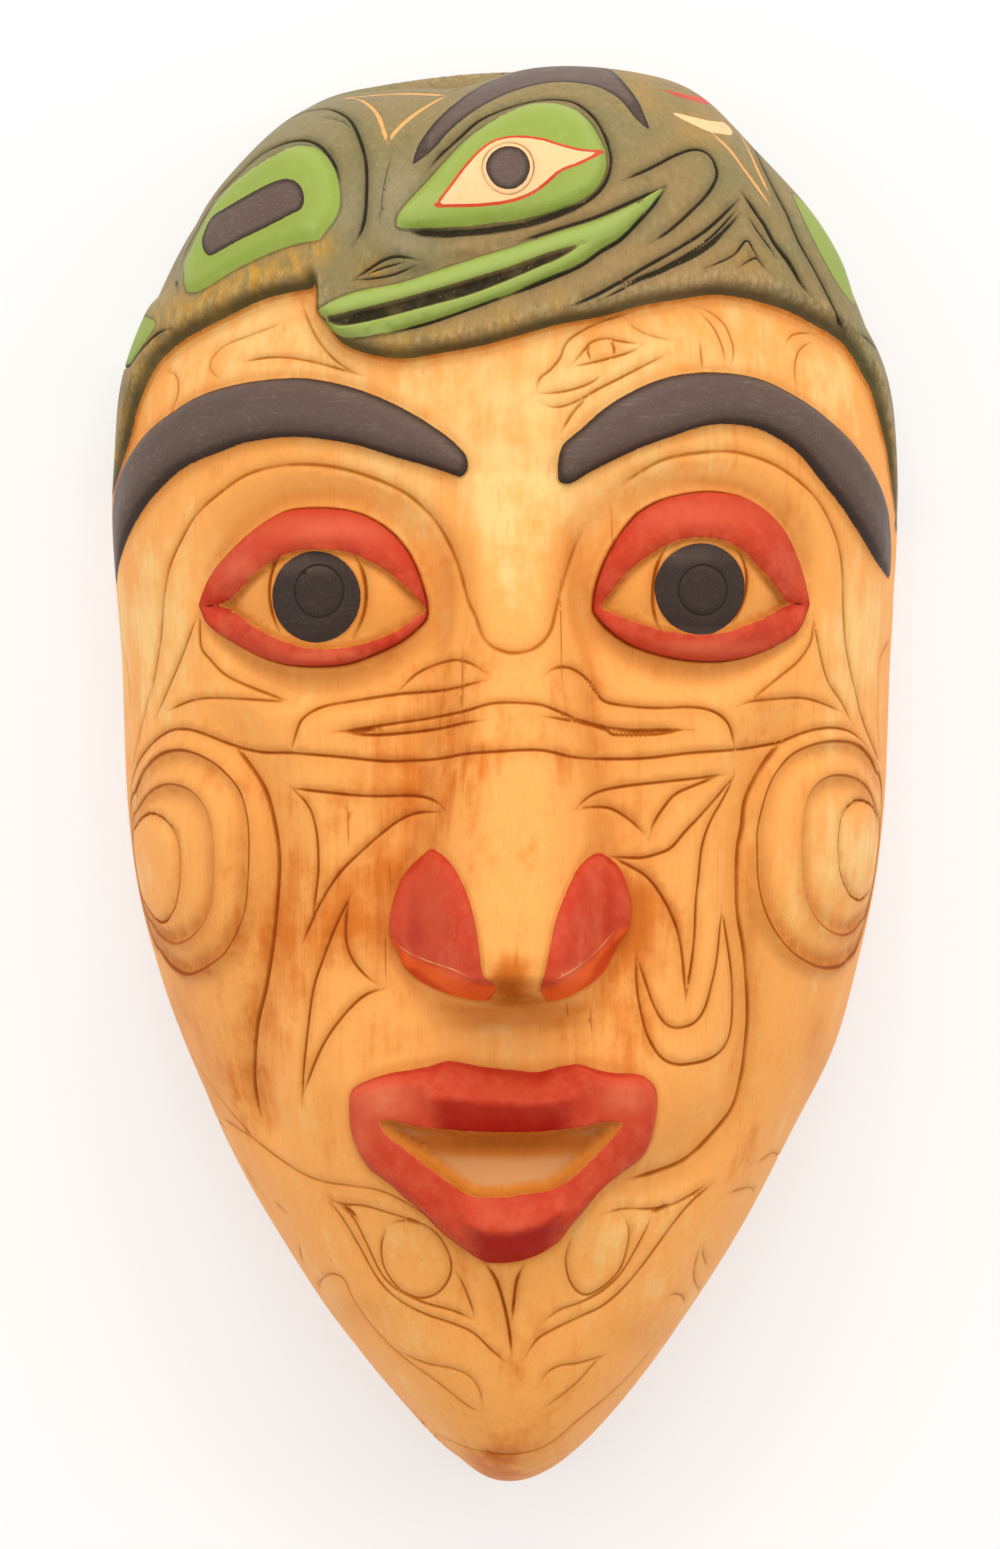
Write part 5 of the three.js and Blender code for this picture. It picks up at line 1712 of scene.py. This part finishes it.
    def green(self, dark):
        """Green paint, rubbed thin on ridges and in patches."""
        ridge = (0.0 - self.cavity).between(0.03, 0.3) * 0.3
        thin = (self.rub.between(0.5, 0.75) * 0.22).most(ridge)
        green = self.mix(thin, self.palette.green, WORN_GREEN)
        return self.mix(dark * 0.5, green, GREEN_SHADE)

    def cream(self):
        """Cream paint with stain beside its cuts and in patches."""
        return self.coated(self.palette.cream, (self.halo * 0.4).most(self.rub.between(0.55, 0.8) * 0.2))

    def red(self, dark):
        """Red paint: worn thin and with a painted sheen in places, a brighter orange under the wings' ridges
        that is partly painted light, painted shade on the lips' facets that face the chin, and stain with
        painted shade where it lies.
        """
        thin = self.noise((180, 150, 180), 4.0, 0.7).between(0.35, 0.7) * 0.3
        # Worn red in patches, and a painted sheen where the sheen map lies
        thin = thin.most(self.map("rubbed") * (self.rub.between(0.25, 0.6) * 0.4 + 0.6))
        stain_and_shade = self.stain_and_shade.between(0.45, 0.85) * (self.rub.between(0.2, 0.6) * 0.2 + 0.8)
        # Painted shade on the lips' facets that face the chin
        under = self.map("under") * (self.rub.between(0.2, 0.6) * 0.12 + 0.82)
        red = self.mix(thin, self.palette.red, self.palette.red_worn_and_sheen)
        # The wings' facets below their ridges: a more orange red, and painted light that lifts these facets,
        # which face the chin
        red = self.mix(self.map("below") * 0.75, red, ORANGE_AND_LIT_RED)
        return self.mix(dark.most(stain_and_shade).most(under), red, RED_SHADE)

    def black(self):
        """Black paint: lighter away from its edges except on the irises, partly worn to brown and partly a
        painted sheen on the crests; a painted highlight on the irises' tops; and scratched.
        """
        eyeball = self.masks["eyeball"]
        scratch = self.noise((1500, 1500, 1500), 4.0, 0.7)
        # Painted sheen, with wear, on the crests away from the edges
        crest_sheen = self.map("black").between(0.1, 1.5) * (1 - eyeball)
        patches = self.noise((120, 120, 120), 3.0, 0.6).between(0.35, 0.65)
        bristle = self.noise((150, 1500, 500), 4.0, 0.75, 0.4).between(0.5, 0.72) * patches
        # Painted highlight on the irises' tops
        iris_highlight = self.map("rubbed") * eyeball * (self.rub.between(0.3, 0.6) * 0.5 + 0.5)
        black = self.mix(crest_sheen, self.palette.black, self.palette.brow)
        black = self.mix(bristle * (crest_sheen * 0.3 + 0.1), black, BRISTLE_MARKS)
        black = self.mix(iris_highlight, black, IRIS_HIGHLIGHT)
        return self.mix(scratch.between(0.54, 0.75) * (crest_sheen * 0.16 + 0.14), black, BLACK_SCRATCHES)

    def colour(self):
        """The wood, the paints over it in turn, the cuts through them, and pale scrapes and specks."""
        dark = (self.cavity.between(0.02, 0.5) * 0.5).most(self.halo * 0.3)
        coats = [("olive", self.olive()), ("green", self.green(dark)), ("cream", self.cream()),
                 ("red", self.red(dark)), ("black", self.black())]
        colour = self.stained_and_shaded_wood()
        for name, coat in coats:
            colour = self.mix(self.masks[name], colour, coat)
        in_paint = self.mix(self.masks["red"], self.palette.groove, RED_GROOVE)
        colour = self.mix(self.groove.between(0.02, 0.6) * self.painted, colour, in_paint)
        bare = (self.map("bare") * self.uneven).between(0.1, 0.5)
        colour = self.mix(bare * 0.9, colour, SCRAPED_WOOD)
        speck = self.noise((2300, 2300, 2300), 2.0, 0.6).between(0.68, 0.74)
        return self.mix(speck * self.masks["olive"] * 0.3, colour, OLIVE_SPECKS)

    def roughness(self):
        """Smoother on black and red paint, and rougher in the cuts."""
        smooth = 0.5 - self.masks["black"] * 0.06 - self.masks["red"] * 0.06
        return smooth + (self.rub - 0.5) * 0.16 + self.groove * 0.2

    def relief(self):
        """Grain, which the paints fill in part, tool marks and small lumps, in metres."""
        grain = self.noise(*self.GRAIN)
        tool = self.noise((210, 90, 210), 2.0, 0.5)
        lumps = self.noise((1500, 900, 1500), 3.0, 0.6)
        surface = grain * (0.00009 - self.painted * 0.00004) + tool * 0.0003 + lumps * 0.00003
        return self.node("Bump", {}, {"Height": surface, "Distance": 1.0, "Strength": 1.0})


class MASK_OT_carve(bpy.types.Operator):
    """Carve the mask: one solid piece with its hollow back, its knife lines and its painted outlines"""

    bl_idname = "mask.carve"
    bl_label = "Carve the mask"

    QUICK_SPACING = 2.0

    def execute(self, context):
        sizes = context.scene.mask_sizes
        spacing = sizes.spacing
        carved = CarvedMask(Carving(sizes), sizes.rows, spacing)
        piece = bpy.data.objects.new("carved_mask", carved.mesh("carved_mask"))
        context.scene.collection.objects.link(piece)
        piece.data.materials.append(MaskFinish(context.scene.mask_colours).material)
        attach(piece, "root")
        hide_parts("mask")
        return {"FINISHED"}


class MASK_OT_stage(bpy.types.Operator):
    """Lay out the pale floor, the soft lights and the camera over the face"""

    bl_idname = "mask.stage"
    bl_label = "Lay out the stage"

    # Half the floor's side and its glow
    FLOOR = 1.6
    FLOOR_STRENGTH = 0.54

    # Each light's name, place, side and power, and what they all have in common
    LIGHTS = [
        ("crown_light", (0.1, 1.7, 1.4), 1.6, 23.0),
        ("right_light", (0.95, 0.2, 0.8), 0.8, 2.6),
        ("left_light", (-0.9, 0.1, 0.8), 0.9, 2.2),
    ]
    LIGHT_COLOUR = (1.0, 0.99, 0.975)
    LIGHT_TARGET = (0, 0, 0.05)

    # The room's light, and its strength from the chin's side and from the crown's
    ROOM_COLOUR = (1.0, 1.0, 0.995, 1)
    ROOM_STRENGTHS = (0.5, 1.12)
    SENSOR = 36.0

    def execute(self, context):
        scene = context.scene
        self.lay_floor(scene)
        self.hang_lights(scene)
        self.fill_room(scene)
        self.set_camera(scene)
        scene.view_settings.view_transform = "Standard"
        return {"FINISHED"}

    def lay_floor(self, scene):
        """A pale square with a faint haze and a glow."""
        reach = self.FLOOR
        corners = [(-reach, -reach, 0), (reach, -reach, 0), (reach, reach, 0), (-reach, reach, 0)]
        mesh = bpy.data.meshes.new("floor")
        mesh.from_pydata(corners, [], [(0, 1, 2, 3)])
        shading = Shading("pale floor")
        haze = shading.noise((3, 3, 3), 2.0).between(0.2, 0.8)
        looks = {
            "Base Color": shading.mix(haze, *FLOOR_TINTS),
            "Emission Color": FLOOR_GLOW,
            "Emission Strength": self.FLOOR_STRENGTH,
            "Roughness": 0.9,
            "Specular IOR Level": 0.1,
        }
        for name, value in looks.items():
            shading.feed(shading.shader.inputs[name], value)
        mesh.materials.append(shading.material)
        floor = bpy.data.objects.new("floor", mesh)
        scene.collection.objects.link(floor)

    def hang_lights(self, scene):
        """Square lamps turned toward the mask."""
        for name, place, size, power in self.LIGHTS:
            lamp = bpy.data.lights.new(name, "AREA")
            lamp.shape = "SQUARE"
            lamp.size = size
            lamp.energy = power
            lamp.color = self.LIGHT_COLOUR
            holder = bpy.data.objects.new(name, lamp)
            holder.location = place
            sight = Vector(self.LIGHT_TARGET) - Vector(place)
            holder.rotation_euler = sight.to_track_quat("-Z", "Y").to_euler()
            scene.collection.objects.link(holder)

    def fill_room(self, scene):
        """White light all round, stronger from the crown's side and weaker from the chin's."""
        scene.world = bpy.data.worlds.new("studio")
        scene.world.use_nodes = True
        nodes = Nodes(scene.world.node_tree)
        chin, crown = self.ROOM_STRENGTHS
        place = nodes.node("TexCoord", {}, {}, "Generated")
        along = nodes.node("SeparateXYZ", {}, {0: place}, "Y")
        values = {"Value": along, "From Min": -1, "From Max": 1, "To Min": chin, "To Max": crown}
        sky = nodes.tree.nodes["Background"].inputs
        nodes.feed(sky["Color"], self.ROOM_COLOUR)
        nodes.feed(sky["Strength"], nodes.node("MapRange", {}, values))

    def set_camera(self, scene):
        """Straight over the face, with the focal length that the front-view sheet is drawn for."""
        width, height = SHEET_SIZE
        lens = bpy.data.cameras.new("camera")
        lens.sensor_width = self.SENSOR
        lens.lens = SHEET_REACH / height * self.SENSOR
        lens.shift_x = (width / 2 - SHEET_MIDDLE[0]) / height
        lens.shift_y = (SHEET_MIDDLE[1] - height / 2) / height
        camera = bpy.data.objects.new("camera", lens)
        camera.location = (0, 0, EYE_HEIGHT * MM)
        scene.collection.objects.link(camera)
        scene.camera = camera


class MASK_PT_panel(bpy.types.Panel):
    """Sizes, colours and steps of the carved mask"""

    bl_idname = "MASK_PT_panel"
    bl_label = "Carved frog mask"
    bl_space_type = "VIEW_3D"
    bl_region_type = "UI"
    bl_category = "Mask"

    def draw(self, context):
        for group in (context.scene.mask_sizes, context.scene.mask_colours):
            for name in group.__annotations__:
                self.layout.prop(group, name)
        for operator in (MASK_OT_carve, MASK_OT_stage):
            self.layout.operator(operator.bl_idname)


CLASSES = (MaskSizes, MaskColours, MASK_OT_carve, MASK_OT_stage, MASK_PT_panel)


def register():
    for part in CLASSES:
        bpy.utils.register_class(part)
    bpy.types.Scene.mask_sizes = PointerProperty(type=MaskSizes)
    bpy.types.Scene.mask_colours = PointerProperty(type=MaskColours)


def unregister():
    del bpy.types.Scene.mask_colours
    del bpy.types.Scene.mask_sizes
    for part in reversed(CLASSES):
        bpy.utils.unregister_class(part)


def main():
    register()
    bpy.ops.mask.carve()
    bpy.ops.mask.stage()


if __name__ == "__main__":
    main()
